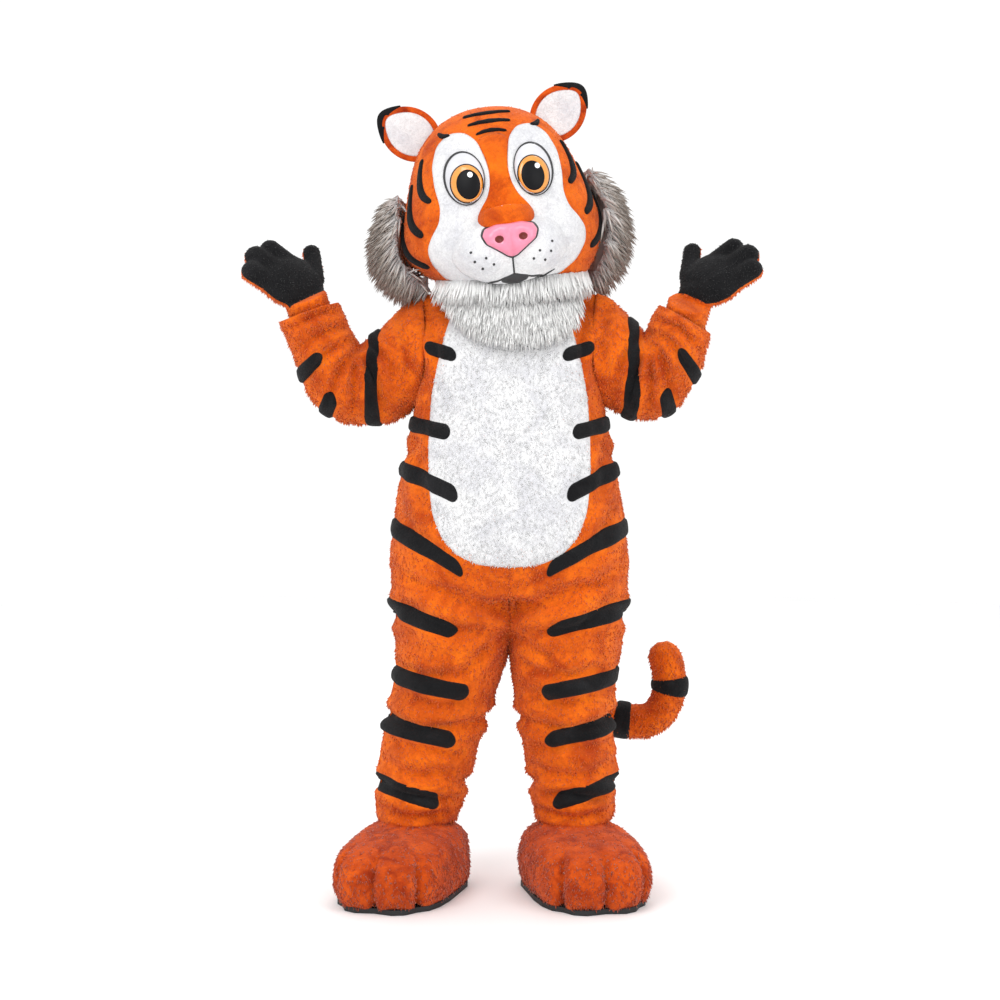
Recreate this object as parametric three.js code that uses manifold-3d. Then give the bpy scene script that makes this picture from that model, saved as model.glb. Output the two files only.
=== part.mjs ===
// Tiger mascot costume in its worn, hollow form: plush suit, tail, gloves, padded boots and foam head.
// Millimetres, +Z up, the front faces -Y. Heights below are above the floor; the whole group is
// lowered at the end so that the origin is where the wearer's neck and shoulders carry it.
import * as THREE from 'three';
import * as BufferGeometryUtils from 'three/addons/utils/BufferGeometryUtils.js';
import Module from 'manifold-3d';

const wasm = await Module();
wasm.setup();

// ---------------------------------------------------------------- driving dimensions
const HELD_HEIGHT = 1420; // from the floor to the point between the wearer's shoulders
const CLOTH = 2; // wall of the plush cloth
const SEAM = 0.3; // gap between two sewn pieces
const TRIM = 3; // thickness of a plush piece sewn on a panel
const LINING = 2; // thickness of an ear's lining
const EDGE = 0.004; // share of a cell that a panel keeps back from its seam line
const CROTCH = 565;
const SEAT = 770; // from here down the torso turns into two legs
const ARMPIT = 1140;
const SHOULDER = 1412;
const ROUND = 0.86; // power that squares the torso's sections a little
const RIGHT = -1; // the wearer's right side is at -X
const LEFT = 1;
const SIDES = [RIGHT, LEFT];
const SIDE_NAME = { [RIGHT]: 'right', [LEFT]: 'left' };

const COLOUR = {
  orange: { color: 0xdc5a0c, roughness: 0.95, metalness: 0 },
  deepOrange: { color: 0xc8410c, roughness: 0.95, metalness: 0 },
  white: { color: 0xf2f2f0, roughness: 0.95, metalness: 0 },
  black: { color: 0x101010, roughness: 0.9, metalness: 0 },
  grey: { color: 0xb9b0a8, roughness: 1, metalness: 0 },
  pink: { color: 0xee7fa3, roughness: 0.35, metalness: 0 },
  sclera: { color: 0xe8e8ea, roughness: 0.3, metalness: 0 },
  amber: { color: 0xe08a24, roughness: 0.2, metalness: 0 },
  sole: { color: 0x16181a, roughness: 0.8, metalness: 0 },
};

// Torso sections: half width, and depth in front of and behind the side seam.
const TORSO = [
  { z: 1412, half: 205, front: 95, back: 90 },
  { z: 1385, half: 206, front: 112, back: 112 },
  { z: 1345, half: 207, front: 130, back: 134 },
  { z: 1295, half: 209, front: 144, back: 146 },
  { z: 1240, half: 214, front: 154, back: 151 },
  { z: 1190, half: 221, front: 161, back: 152 },
  { z: 1140, half: 228, front: 167, back: 151 },
  { z: 1085, half: 237, front: 173, back: 152 },
  { z: 1015, half: 250, front: 183, back: 155 },
  { z: 915, half: 268, front: 196, back: 161 },
  { z: 825, half: 281, front: 201, back: 171 },
  { z: 770, half: 284, front: 196, back: 181 },
  { z: 728, half: 280, front: 180, back: 188 },
  { z: 695, half: 281, front: 184, back: 192 },
  { z: 650, half: 278, front: 181, back: 190 },
  { z: 565, half: 267, front: 152, back: 166 },
];

// Leg sections: outer and inner X of the wearer's right and left leg, and the two depths.
const LEG = [
  { z: 565, right: [267, 0.5], left: [265, 0.5], front: 150, back: 164 },
  { z: 530, right: [269, 12], left: [260, 4], front: 140, back: 152 },
  { z: 485, right: [275, 27], left: [254, 8], front: 130, back: 140 },
  { z: 395, right: [294, 56], left: [247, 25], front: 117, back: 123 },
  { z: 365, right: [297, 67], left: [246, 31], front: 108, back: 112 },
  { z: 330, right: [307, 75], left: [254, 38], front: 114, back: 118 },
  { z: 280, right: [311, 92], left: [258, 46], front: 109, back: 113 },
  { z: 222, right: [314, 110], left: [252, 56], front: 100, back: 103 },
  { z: 190, right: [322, 120], left: [254, 59], front: 102, back: 106 },
  { z: 160, right: [314, 133], left: [243, 66], front: 92, back: 94 },
];

// Sleeve sections: the points on the upper and the lower outline, the depth and how far forward.
const SLEEVE = {
  [RIGHT]: [
    { upper: [283, 1363], lower: [274, 1114], depth: 102, forward: 4 },
    { upper: [322, 1318], lower: [346, 1102], depth: 101, forward: 12 },
    { upper: [353, 1290], lower: [410, 1113], depth: 96, forward: 27 },
    { upper: [362, 1295], lower: [450, 1144], depth: 92, forward: 42 },
    { upper: [370, 1312], lower: [480, 1194], depth: 88, forward: 58 },
    { upper: [387, 1346], lower: [506, 1266], depth: 80, forward: 84 },
    { upper: [405, 1392], lower: [532, 1350], depth: 66, forward: 108 },
  ],
  [LEFT]: [
    { upper: [262, 1386], lower: [262, 1136], depth: 102, forward: 4 },
    { upper: [298, 1350], lower: [294, 1118], depth: 101, forward: 12 },
    { upper: [321, 1320], lower: [349, 1117], depth: 97, forward: 26 },
    { upper: [329, 1323], lower: [397, 1141], depth: 93, forward: 42 },
    { upper: [337, 1341], lower: [428, 1192], depth: 89, forward: 58 },
    { upper: [347, 1371], lower: [457, 1259], depth: 82, forward: 84 },
    { upper: [356, 1386], lower: [466, 1322], depth: 64, forward: 107 },
  ],
};

// Black bars on the flank: height at the side seam, height and distance from the centre line of
// the front end, and the same of the back end. Width is the bar's height.
const BARS = [
  { name: 'bar_2', seam: 1114, front: [1080, 148], back: [1084, 150], width: 38 },
  { name: 'bar_3', seam: 1000, front: [948, 132], back: [952, 140], width: 40 },
  { name: 'bar_4', seam: 862, front: [768, 112], back: [786, 120], width: 40 },
  { name: 'bar_5', seam: 668, front: [622, 122], back: [630, 128], width: 42 },
];
// Bars on the leg: the same, with the ends as shares of the way from the inseam to the side.
const LEG_BARS = [
  { name: 'bar_6', seam: 505, front: [462, 0.3], back: [468, 0.3], width: 42 },
  { name: 'bar_7', seam: 392, front: [352, 0.26], back: [358, 0.3], width: 40 },
  { name: 'bar_8', seam: 258, front: [206, 0.36], back: [212, 0.36], width: 40 },
];
const CHEST_BAR = { front: [1262, 134], armhole: 1290, width: 36 };

// Head sections in the head's own frame, up from its lower rim.
const HEAD = [
  { z: 0, half: 160, front: 158, back: 150 },
  { z: 24, half: 188, front: 184, back: 168 },
  { z: 50, half: 212, front: 198, back: 182 },
  { z: 78, half: 231, front: 207, back: 193 },
  { z: 106, half: 241, front: 212, back: 201 },
  { z: 136, half: 243, front: 214, back: 207 },
  { z: 168, half: 238, front: 214, back: 211 },
  { z: 204, half: 228, front: 212, back: 212 },
  { z: 242, half: 214, front: 208, back: 210 },
  { z: 282, half: 202, front: 199, back: 203 },
  { z: 322, half: 187, front: 184, back: 191 },
  { z: 360, half: 167, front: 161, back: 171 },
  { z: 394, half: 137, front: 130, back: 141 },
  { z: 421, half: 95, front: 90, back: 99 },
  { z: 436, half: 48, front: 46, back: 51 },
  { z: 441, half: 0, front: 0, back: 0 },
];
const HEAD_ANGLES = [0, 8, 16, 25, 34, 44, 55, 68, 83, 100, 120, 140, 160];
const HEAD_WALL = 10; // plush over foam
const HEAD_ROLL = 8.5; // degrees, the top leans to the wearer's right
const HEAD_YAW = 4; // degrees, the face turns a little to the wearer's left
const HEAD_BASE = 1430; // height of the point that the head turns about
const RIM = { side: 13, front: -6 }; // height of the lower rim above that point

// ---------------------------------------------------------------- small tools
const lerp = THREE.MathUtils.lerp;
const smooth = (t) => THREE.MathUtils.smoothstep(t, 0, 1);
const vec = (x, y, z) => new THREE.Vector3(x, y, z);
const rounded = (value, power) => Math.sign(value) * Math.abs(value) ** power;
const mirrored = (outline) => outline.map(([u, v]) => [u, -v]);

// A value of a table at a height, along straight lines between its rows.
function read(table, height, value) {
  const rows = [...table].sort((a, b) => a.z - b.z);
  if (height <= rows[0].z) return value(rows[0]);
  for (let i = 1; i < rows.length; i += 1) {
    if (height <= rows[i].z) {
      const share = (height - rows[i - 1].z) / (rows[i].z - rows[i - 1].z);
      return lerp(value(rows[i - 1]), value(rows[i]), share);
    }
  }
  return value(rows.at(-1));
}

const heights = (table) => table.map((row) => row.z);
const rising = (values) => [...new Set(values)].sort((a, b) => a - b);
const steps = (from, to, count) => [...Array(count + 1).keys()].map((k) => lerp(from, to, k / count));

// ---------------------------------------------------------------- surfaces
// A surface is a grid of points, u by v, with a normal at each. `wrap` joins its last column to
// its first. `turn` corrects a normal where two pieces have to agree on it. `flipped` says, from
// the v of a cell's middle, where the cell is split along its other diagonal.
function makeSurface(us, vs, pointAt, options = {}) {
  const { wrap = false, outward = 1, turn = null, flipped = () => false } = options;
  const points = us.map((u) => vs.map((v) => pointAt(u, v)));
  const last = vs.length - 1;
  const normals = us.map((u, i) => vs.map((v, j) => {
    const up = points[Math.min(i + 1, us.length - 1)][j].clone().sub(points[Math.max(i - 1, 0)][j]);
    const ahead = wrap && j === last ? points[i][1] : points[i][Math.min(j + 1, last)];
    const behind = wrap && j === 0 ? points[i][last - 1] : points[i][Math.max(j - 1, 0)];
    const normal = up.cross(ahead.clone().sub(behind));
    if (normal.length() < 1e-6) return vec(0, 0, 1);
    normal.normalize().multiplyScalar(outward);
    return turn ? turn(u, v, normal) : normal;
  }));
  const otherWay = vs.slice(1).map((v, j) => flipped((v + vs[j]) / 2));
  return { us, vs, wrap, points, normals, otherWay };
}

// The same surface moved out along its normals by a distance, or by a function of u and v.
function lifted(surface, distance) {
  const reach = typeof distance === 'function' ? distance : () => distance;
  const points = surface.points.map((row, i) => row.map((point, j) =>
    point.clone().addScaledVector(surface.normals[i][j], reach(surface.us[i], surface.vs[j]))));
  return { ...surface, points };
}

function gridPlace(values, value) {
  for (let i = 1; i < values.length; i += 1) {
    if (value <= values[i] || i === values.length - 1) {
      const share = (value - values[i - 1]) / (values[i] - values[i - 1]);
      return i - 1 + THREE.MathUtils.clamp(share, 0, 1);
    }
  }
  return 0;
}

// The point of a grid at a row and column that need not be whole.
function pointOn(surface, [row, column]) {
  const i = Math.min(Math.floor(row), surface.us.length - 2);
  const j = Math.min(Math.floor(column), surface.vs.length - 2);
  const s = row - i;
  const t = column - j;
  const grid = surface.points;
  const [low, lowNext, high, highNext] = [grid[i][j], grid[i][j + 1], grid[i + 1][j], grid[i + 1][j + 1]];
  const mix = (...parts) => parts.reduce((sum, [p, share]) => sum.addScaledVector(p, share), vec(0, 0, 0));
  if (surface.otherWay[j]) {
    return s + t <= 1
      ? mix([low, 1 - s - t], [high, s], [lowNext, t])
      : mix([highNext, s + t - 1], [high, 1 - t], [lowNext, 1 - s]);
  }
  return s >= t
    ? mix([low, 1 - s], [high, s - t], [highNext, t])
    : mix([low, 1 - t], [lowNext, t - s], [highNext, s]);
}

// The part of a polygon on the left of the line from a to b.
function keepLeft(polygon, a, b) {
  const side = (p) => (b[0] - a[0]) * (p[1] - a[1]) - (b[1] - a[1]) * (p[0] - a[0]);
  const kept = [];
  polygon.forEach((p, k) => {
    const q = polygon[(k + 1) % polygon.length];
    const [here, there] = [side(p), side(q)];
    if (here >= 0) kept.push(p);
    if ((here > 0 && there < 0) || (here < 0 && there > 0)) {
      const share = here / (here - there);
      kept.push([lerp(p[0], q[0], share), lerp(p[1], q[1], share)]);
    }
  });
  return kept;
}

// Cuts outlines, in u and v, along the facets of a surface, so that a piece made from them lies
// facet on facet on the panel below it.
function cutToFacets(surface, outlines) {
  const corners = [];
  const index = new Map();
  const faces = [];
  const columns = surface.vs.length - 1;
  const cornerAt = (place) => {
    const column = surface.wrap && place[1] > columns - 1e-5 ? 0 : place[1];
    const key = `${Math.round(place[0] * 1e5)},${Math.round(column * 1e5)}`;
    if (!index.has(key)) {
      index.set(key, corners.length);
      corners.push([place[0], column]);
    }
    return index.get(key);
  };
  for (const outline of outlines) {
    let polygon = outline.map(([u, v]) => [gridPlace(surface.us, u), gridPlace(surface.vs, v)]);
    const area = polygon.reduce((sum, p, k) => {
      const q = polygon[(k + 1) % polygon.length];
      return sum + p[0] * q[1] - q[0] * p[1];
    }, 0);
    if (area < 0) polygon = polygon.reverse();
    for (let i = 0; i < surface.us.length - 1; i += 1) {
      for (let j = 0; j < columns; j += 1) {
        const [low, lowNext, high, highNext] = [[i, j], [i, j + 1], [i + 1, j], [i + 1, j + 1]];
        const facets = surface.otherWay[j]
          ? [[low, high, lowNext], [lowNext, high, highNext]]
          : [[low, high, highNext], [low, highNext, lowNext]];
        for (const facet of facets) {
          let piece = polygon;
          facet.forEach((corner, k) => {
            piece = keepLeft(piece, corner, facet[(k + 1) % 3]);
          });
          const ring = piece.map(cornerAt).filter((c, k, all) => c !== all[(k + 1) % all.length]);
          for (let k = 2; k < ring.length; k += 1) faces.push([ring[0], ring[k - 1], ring[k]]);
        }
      }
    }
  }
  return { corners, faces: faces.filter(([a, b, c]) => a !== b && b !== c && c !== a) };
}

// A closed geometry from points and faces, with its faces pointing out.
function closedGeometry(points, faces) {
  let geometry = new THREE.BufferGeometry();
  const places = new THREE.Float32BufferAttribute(points.flatMap((p) => p.toArray()), 3);
  geometry.setAttribute('position', places);
  geometry.setIndex(faces.flat());
  geometry = BufferGeometryUtils.mergeVertices(geometry, 1e-4);
  const index = geometry.index.array;
  const at = geometry.attributes.position;
  const kept = [];
  let volume = 0;
  for (let k = 0; k < index.length; k += 3) {
    const [a, b, c] = index.subarray(k, k + 3);
    if (a === b || b === c || c === a) continue;
    kept.push([a, b, c]);
    const [pa, pb, pc] = [a, b, c].map((n) => new THREE.Vector3().fromBufferAttribute(at, n));
    volume += pa.dot(pb.cross(pc));
  }
  geometry.setIndex(kept.flatMap(([a, b, c]) => (volume < 0 ? [a, c, b] : [a, b, c])));
  return geometry;
}

// A cloth piece: the outlined part of a surface, from one distance off it to another.
function layer(surface, outlines, from, to) {
  const { corners, faces } = cutToFacets(surface, outlines);
  const [lower, upper] = [lifted(surface, from), lifted(surface, to)];
  const points = [...corners.map((c) => pointOn(upper, c)), ...corners.map((c) => pointOn(lower, c))];
  const below = corners.length;
  const edges = new Set(faces.flatMap(([a, b, c]) => [`${a},${b}`, `${b},${c}`, `${c},${a}`]));
  const walls = [];
  for (const edge of edges) {
    const [a, b] = edge.split(',').map(Number);
    if (!edges.has(`${b},${a}`)) walls.push([b, a, a + below], [b, a + below, b + below]);
  }
  const underside = faces.map(([a, b, c]) => [a + below, c + below, b + below]);
  return closedGeometry(points, [...faces, ...underside, ...walls]);
}

// A whole panel of a surface, kept back a little from the edges that are sewn.
function panel(surface, from, to, { u = [0, 0], v = [0, 0] } = {}) {
  const inset = (values, [start, end]) => [
    lerp(values[0], values[1], start * EDGE),
    lerp(values.at(-1), values.at(-2), end * EDGE),
  ];
  const [u0, u1] = inset(surface.us, u);
  const [v0, v1] = inset(surface.vs, v);
  return layer(surface, [[[u0, v0], [u0, v1], [u1, v1], [u1, v0]]], from, to);
}

// A straight band between two points of a surface's plane, with its corners cut at a rounded end.
const ROUNDING = 0.16; // share of the band's reach that a rounded end takes
function bandOutline(start, end, width, roundStart, roundEnd) {
  const half = width / 2;
  const across = (share, size) => [
    lerp(start[0], end[0], share) + size,
    lerp(start[1], end[1], share),
  ];
  const nib = roundStart ? [across(0, half * 0.45), across(ROUNDING, half)] : [across(0, half)];
  const nose = roundEnd ? [across(1 - ROUNDING, half), across(1, half * 0.45)] : [across(1, half)];
  const below = ([u, v], share) => [2 * lerp(start[0], end[0], share) - u, v];
  const nibShares = roundStart ? [0, ROUNDING] : [0];
  const noseShares = roundEnd ? [1 - ROUNDING, 1] : [1];
  const upper = [...nib, ...nose];
  const shares = [...nibShares, ...noseShares];
  return [...upper, ...upper.map((place, k) => below(place, shares[k])).reverse()];
}

// ---------------------------------------------------------------- solids by joining and cutting
function toSolid(geometry, matrix = new THREE.Matrix4()) {
  const bare = geometry.clone().applyMatrix4(matrix);
  bare.deleteAttribute('normal');
  bare.deleteAttribute('uv');
  const plain = BufferGeometryUtils.mergeVertices(bare, 1e-4);
  return new wasm.Manifold(new wasm.Mesh({
    numProp: 3,
    vertProperties: new Float32Array(plain.attributes.position.array),
    triVerts: new Uint32Array(plain.index.array),
  }));
}

function toGeometry(solid) {
  const mesh = solid.getMesh();
  const geometry = new THREE.BufferGeometry();
  geometry.setAttribute('position', new THREE.Float32BufferAttribute(mesh.vertProperties, 3));
  geometry.setIndex([...mesh.triVerts]);
  return geometry;
}

const joined = (solids) => solids.reduce((sum, solid) => sum.add(solid));

// ---------------------------------------------------------------- the group and its nodes
const costume = new THREE.Group();
costume.position.z = -HELD_HEIGHT;
const headGroup = new THREE.Group();
headGroup.position.z = HEAD_BASE;
headGroup.rotation.set(0, -HEAD_ROLL * THREE.MathUtils.DEG2RAD, HEAD_YAW * THREE.MathUtils.DEG2RAD);
costume.add(headGroup);

function addPiece(name, geometry, finish, group = costume) {
  const piece = new THREE.Mesh(geometry, new THREE.MeshStandardMaterial(COLOUR[finish]));
  piece.name = name;
  group.add(piece);
  return piece;
}

// ---------------------------------------------------------------- suit
const ARMHOLE = { front: 104, back: 98, pinch: 14 };
const NECK = { half: 100, front: 90, back: 84, low: 1394, nape: 1426, high: 1430 };
const ROWS = rising([...heights(TORSO), ...heights(LEG)]);
const QUARTER = 5; // columns in a quarter of the body

// The shoulder seam and half of the neckline, as the top row of a front or back panel.
function shoulderRow(share, face) {
  if (share <= 0.5) {
    const angle = share * Math.PI;
    const [low, depth] = face < 0 ? [NECK.low, NECK.front] : [NECK.nape, NECK.back];
    const height = lerp(low, NECK.high, Math.sin(angle));
    return vec(NECK.half * Math.sin(angle), face * depth * Math.cos(angle), height);
  }
  const along = 2 * share - 1;
  return vec(lerp(NECK.half, TORSO[0].half, along), 0, lerp(NECK.high, SHOULDER, along));
}

// A point of the suit: height u, share v from the centre line or inseam (0) to the side (1).
// face is -1 in front and 1 behind.
function suitPoint(side, face, u, v) {
  const depthName = face < 0 ? 'front' : 'back';
  const quarter = v * Math.PI / 2;
  const sine = rounded(Math.sin(quarter), ROUND);
  const cosine = rounded(Math.cos(quarter), ROUND);
  const half = read(TORSO, u, (row) => row.half);
  const depth = read(TORSO, u, (row) => row[depthName]);
  const trunk = vec(half * sine, face * depth * cosine, u);
  if (u > ARMPIT) {
    const climb = (u - ARMPIT) / (SHOULDER - ARMPIT);
    const arch = Math.sin(Math.PI * climb);
    const edge = half - ARMHOLE.pinch * arch;
    const reach = ARMHOLE[depthName] * arch ** 0.8;
    const chest = vec(edge * sine, face * lerp(reach, depth, cosine), u);
    trunk.copy(chest.lerp(shoulderRow(v, face), smooth((climb - 0.5) / 0.5)));
  }
  if (u < SEAT) {
    const [outer, inner] = ['0', '1'].map((k) => read(LEG, u, (row) => row[SIDE_NAME[side]][k]));
    const legDepth = read(LEG, u, (row) => row[depthName]);
    const radius = (outer - inner) / 2;
    const turn = v * Math.PI;
    const leg = vec(inner + radius - radius * Math.cos(turn), face * legDepth * Math.sin(turn), u);
    if (u >= CROTCH) {
      leg.x = half / 2 * (1 - Math.cos(turn));
      leg.y = face * depth * Math.sin(turn);
      trunk.lerp(leg, smooth((SEAT - u) / (SEAT - CROTCH)));
    } else {
      trunk.copy(leg);
    }
  }
  trunk.x *= side;
  return trunk;
}

// Keeps the walls of two panels from meeting under their seam.
function seamNormal(u, v, normal) {
  if (v === 0 && u > CROTCH) normal.x = 0;
  if (v === 0 && u < CROTCH) normal.y = 0;
  if (v === 0 && u === CROTCH) normal.set(0, 0, -1);
  if (v === 1 && u <= ARMPIT) normal.y = 0;
  if (v >= 0.5 && u === SHOULDER) normal.y = 0;
  return normal.normalize();
}

const quarterSteps = steps(0, 1, QUARTER);
const suitPanel = {};
for (const side of SIDES) {
  for (const [faceName, face] of [['front', -1], ['back', 1]]) {
    const surface = makeSurface(ROWS, quarterSteps, (u, v) => suitPoint(side, face, u, v), {
      outward: side * face,
      turn: seamNormal,
    });
    suitPanel[`${faceName}_${SIDE_NAME[side]}`] = surface;
    const geometry = panel(surface, -CLOTH, 0, { u: [0, 1], v: [1, 1] });
    addPiece(`suit_${faceName}_${SIDE_NAME[side]}`, geometry, 'orange');
  }
}

// The chest and belly as one surface, v from -1 at the wearer's right to 1 at the left.
const chestRows = ROWS.filter((u) => u >= SEAT - 80);
const chestPoint = (u, v) => suitPoint(v < 0 ? RIGHT : LEFT, -1, u, Math.abs(v));
const chest = makeSurface(chestRows, steps(-1, 1, 2 * QUARTER), chestPoint, {
  outward: -1,
  flipped: (v) => v < 0,
});

// The share v at which the front or back of the torso is a given distance from the centre line.
function shareAt(u, distance) {
  const half = read(TORSO, u, (row) => row.half);
  return Math.asin(Math.min(1, (distance / half) ** (1 / ROUND))) / (Math.PI / 2);
}

const BELLY = [
  { z: 1385, half: 132 },
  { z: 1330, half: 150 },
  { z: 1250, half: 170 },
  { z: 1170, half: 184 },
  { z: 1060, half: 190 },
  { z: 960, half: 188 },
  { z: 890, half: 176 },
  { z: 830, half: 148 },
  { z: 795, half: 108 },
  { z: 780, half: 60 },
];
const bellySide = BELLY.map(({ z, half }) => [z, shareAt(z, half)]);
const bellyOutline = [...bellySide, ...mirrored(bellySide).reverse()];
addPiece('belly', layer(chest, [bellyOutline], SEAM, SEAM + TRIM), 'white');

// A flank runs from the centre front or inseam (0) over the side seam (1) to the centre back (2).
const flankRows = ROWS.filter((u) => u <= ARMPIT);
const flankSteps = steps(0, 2, 2 * QUARTER);
const BELLY_RISE = SEAM + TRIM; // bars step over the edge of the belly
for (const side of SIDES) {
  const flankPoint = (u, v) => suitPoint(side, v <= 1 ? -1 : 1, u, Math.min(v, 2 - v));
  const flank = makeSurface(flankRows, flankSteps, flankPoint, {
    outward: -side,
    flipped: (v) => v > 1,
  });
  const name = SIDE_NAME[side];
  const addBar = (bar, frontShare, backShare, rise) => {
    const outlines = [
      bandOutline([bar.front[0], frontShare], [bar.seam, 1], bar.width, true, false),
      bandOutline([bar.seam, 1], [bar.back[0], 2 - backShare], bar.width, false, true),
    ];
    addPiece(`${bar.name}_${name}`, layer(flank, outlines, rise + SEAM, rise + SEAM + TRIM), 'black');
  };
  for (const bar of BARS) {
    addBar(bar, shareAt(bar.front[0], bar.front[1]), shareAt(bar.back[0], bar.back[1]), BELLY_RISE);
  }
  for (const bar of LEG_BARS) addBar(bar, bar.front[1], bar.back[1], 0);
  const armholeShare = 0.93;
  const chestBar = bandOutline(
    [CHEST_BAR.front[0], shareAt(CHEST_BAR.front[0], CHEST_BAR.front[1])],
    [CHEST_BAR.armhole, armholeShare],
    CHEST_BAR.width,
    true,
    false,
  );
  const front = suitPanel[`front_${name}`];
  addPiece(`bar_1_${name}`, layer(front, [chestBar], BELLY_RISE + SEAM, BELLY_RISE + SEAM + TRIM), 'black');
}

// ---------------------------------------------------------------- sleeves
const SLEEVE_SEAM = 1.4; // the sleeve starts this far out, so that the two walls clear each other
const armholeRows = ROWS.filter((u) => u >= ARMPIT);

function sleeveSurface(side) {
  const edge = (faceName) => {
    const surface = suitPanel[`${faceName}_${SIDE_NAME[side]}`];
    return armholeRows.map((u) => surface.points[ROWS.indexOf(u)][QUARTER]);
  };
  const armhole = [...edge('front'), ...edge('back').reverse().slice(1)];
  const turns = armhole.length - 1;
  const ring = (row, k) => {
    if (row === 0) return armhole[k].clone().add(vec(side * SLEEVE_SEAM, 0, 0));
    const { upper, lower, depth, forward } = SLEEVE[side][row - 1];
    const angle = 2 * Math.PI * k / turns;
    const share = (1 - Math.cos(angle)) / 2;
    const x = side * lerp(lower[0], upper[0], share);
    return vec(x, -forward - depth * Math.sin(angle), lerp(lower[1], upper[1], share));
  };
  const rows = [...SLEEVE[side].keys(), SLEEVE[side].length];
  return makeSurface(rows, steps(0, turns, turns), ring, { wrap: true, outward: side });
}

// Bands on a sleeve: rows along the arm against twelfths of a turn, from the underarm by the front.
const SLEEVE_BANDS = [
  { name: 'upper', outline: [[1.35, 0.2], [1.85, 0.2], [2.35, 5.6], [1.75, 5.6]] },
  { name: 'elbow', outline: [[3.35, 0.02], [4.05, 0.02], [3.75, 2.1], [3.5, 2.3], [3.25, 2.1]] },
  { name: 'wrist', outline: [[5.25, 0.02], [5.75, 0.02], [5.6, 2.6], [5.4, 2.9], [5.2, 2.6]] },
];
const sleeve = {};
for (const side of SIDES) {
  sleeve[side] = sleeveSurface(side);
  const name = SIDE_NAME[side];
  addPiece(`sleeve_${name}`, panel(sleeve[side], -CLOTH, 0), 'orange');
  for (const band of SLEEVE_BANDS) {
    addPiece(`band_${band.name}_${name}`, layer(sleeve[side], [band.outline], SEAM, SEAM + TRIM), 'black');
  }
}

// ---------------------------------------------------------------- tail
const TAIL_RADIUS = 41;
const TAIL_TURNS = 8;
const TAIL_ROUTE = [
  [25, 197, 690], [30, 240, 672], [48, 268, 600], [88, 276, 500], [150, 275, 418], [232, 268, 370],
  [310, 262, 352], [370, 257, 364], [404, 252, 425], [399, 250, 495], [376, 248, 552],
].map((place) => vec(...place));
const TAIL_STEPS = 16;
const tailCurve = new THREE.CatmullRomCurve3(TAIL_ROUTE, false, 'centripetal');

function tailSurface() {
  const rows = steps(0, 1, TAIL_STEPS);
  const across = vec(1, 0, 0);
  const frames = rows.map((share) => {
    const along = share === 0 ? vec(0, 1, 0) : tailCurve.getTangentAt(share);
    const first = across.clone().addScaledVector(along, -across.dot(along)).normalize();
    across.copy(first);
    return { centre: tailCurve.getPointAt(share), first, second: along.clone().cross(first) };
  });
  return makeSurface(rows, steps(0, 1, TAIL_TURNS), (u, v) => {
    const { centre, first, second } = frames[Math.round(u * TAIL_STEPS)];
    const taper = u > 0.93 ? 0.84 : 1;
    const angle = 2 * Math.PI * v;
    return centre.clone()
      .addScaledVector(first, TAIL_RADIUS * taper * Math.cos(angle))
      .addScaledVector(second, TAIL_RADIUS * taper * Math.sin(angle));
  }, { wrap: true });
}

// A stuffed tube: the surface closed by a cap at each end.
function stuffedTube(surface, tipReach) {
  const rings = surface.points.map((row) => row.slice(0, -1));
  const count = rings[0].length;
  const centre = (ring) => ring.reduce((sum, p) => sum.add(p), vec(0, 0, 0)).divideScalar(count);
  const points = rings.flat().map((p) => p.clone());
  const root = points.push(centre(rings[0])) - 1;
  const end = centre(rings.at(-1));
  const onward = end.clone().sub(centre(rings.at(-2))).setLength(tipReach);
  const tip = points.push(end.add(onward)) - 1;
  const faces = [];
  for (let k = 0; k < count; k += 1) {
    const next = (k + 1) % count;
    faces.push([root, next, k]);
    for (let i = 0; i < rings.length - 1; i += 1) {
      const [low, high] = [i * count, (i + 1) * count];
      faces.push([low + k, low + next, high + next], [low + k, high + next, high + k]);
    }
    const top = (rings.length - 1) * count;
    faces.push([top + k, top + next, tip]);
  }
  return closedGeometry(points, faces);
}

const tail = tailSurface();
tail.normals = tail.normals.map((row, i) => row.map((normal, j) => {
  const ring = tail.points[i].slice(0, -1);
  const middle = ring.reduce((sum, p) => sum.clone().add(p), vec(0, 0, 0)).divideScalar(ring.length);
  return tail.points[i][j].clone().sub(middle).normalize();
}));
addPiece('tail', stuffedTube(tail, 24), 'orange');
const TAIL_BANDS = [[0.3, 0.35], [0.6, 0.655], [0.83, 0.88]];
TAIL_BANDS.forEach(([from, to], k) => {
  const outline = [[from, 0], [from, 1], [to, 1], [to, 0]];
  addPiece(`tail_band_${k + 1}`, layer(tail, [outline], SEAM, SEAM + TRIM), 'black');
});

// ---------------------------------------------------------------- gloves
const GLOVE_WALL = 3;
// Wrist and palm centres for each hand, as distance from the centre line, y and height.
const HANDS = {
  [RIGHT]: { wrist: [471, -110, 1380], palm: [522, -97, 1448] },
  [LEFT]: { wrist: [416, -110, 1367], palm: [487, -97, 1452] },
};
const HAND_AXES = { along: vec(0.83, 0.05, 0.55), facing: vec(-0.326, -0.754, 0.56) };
const FINGERS = [
  { across: -43, base: 20, tip: 74, radius: 27 },
  { across: 0, base: 24, tip: 90, radius: 28 },
  { across: 42, base: 20, tip: 76, radius: 26 },
];
const THUMB = { base: [-50, 46, 2], tip: [-2, 108, 0], radius: 22, root: 34 };
const CUFF = { length: 80, below: 40, mouth: 51, wrist: 52 };
const HEEL = [[-72, -24], [-34, -100], [150, -100], [150, 100], [60, 150], [-70, 150], [-74, 60]];
const PALM = {
  outline: new THREE.Shape(HEEL.map(([along, across]) => new THREE.Vector2(along, across))),
  half: 60,
  start: 2, // in front of the middle of the hand
  depth: 150,
};

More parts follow.
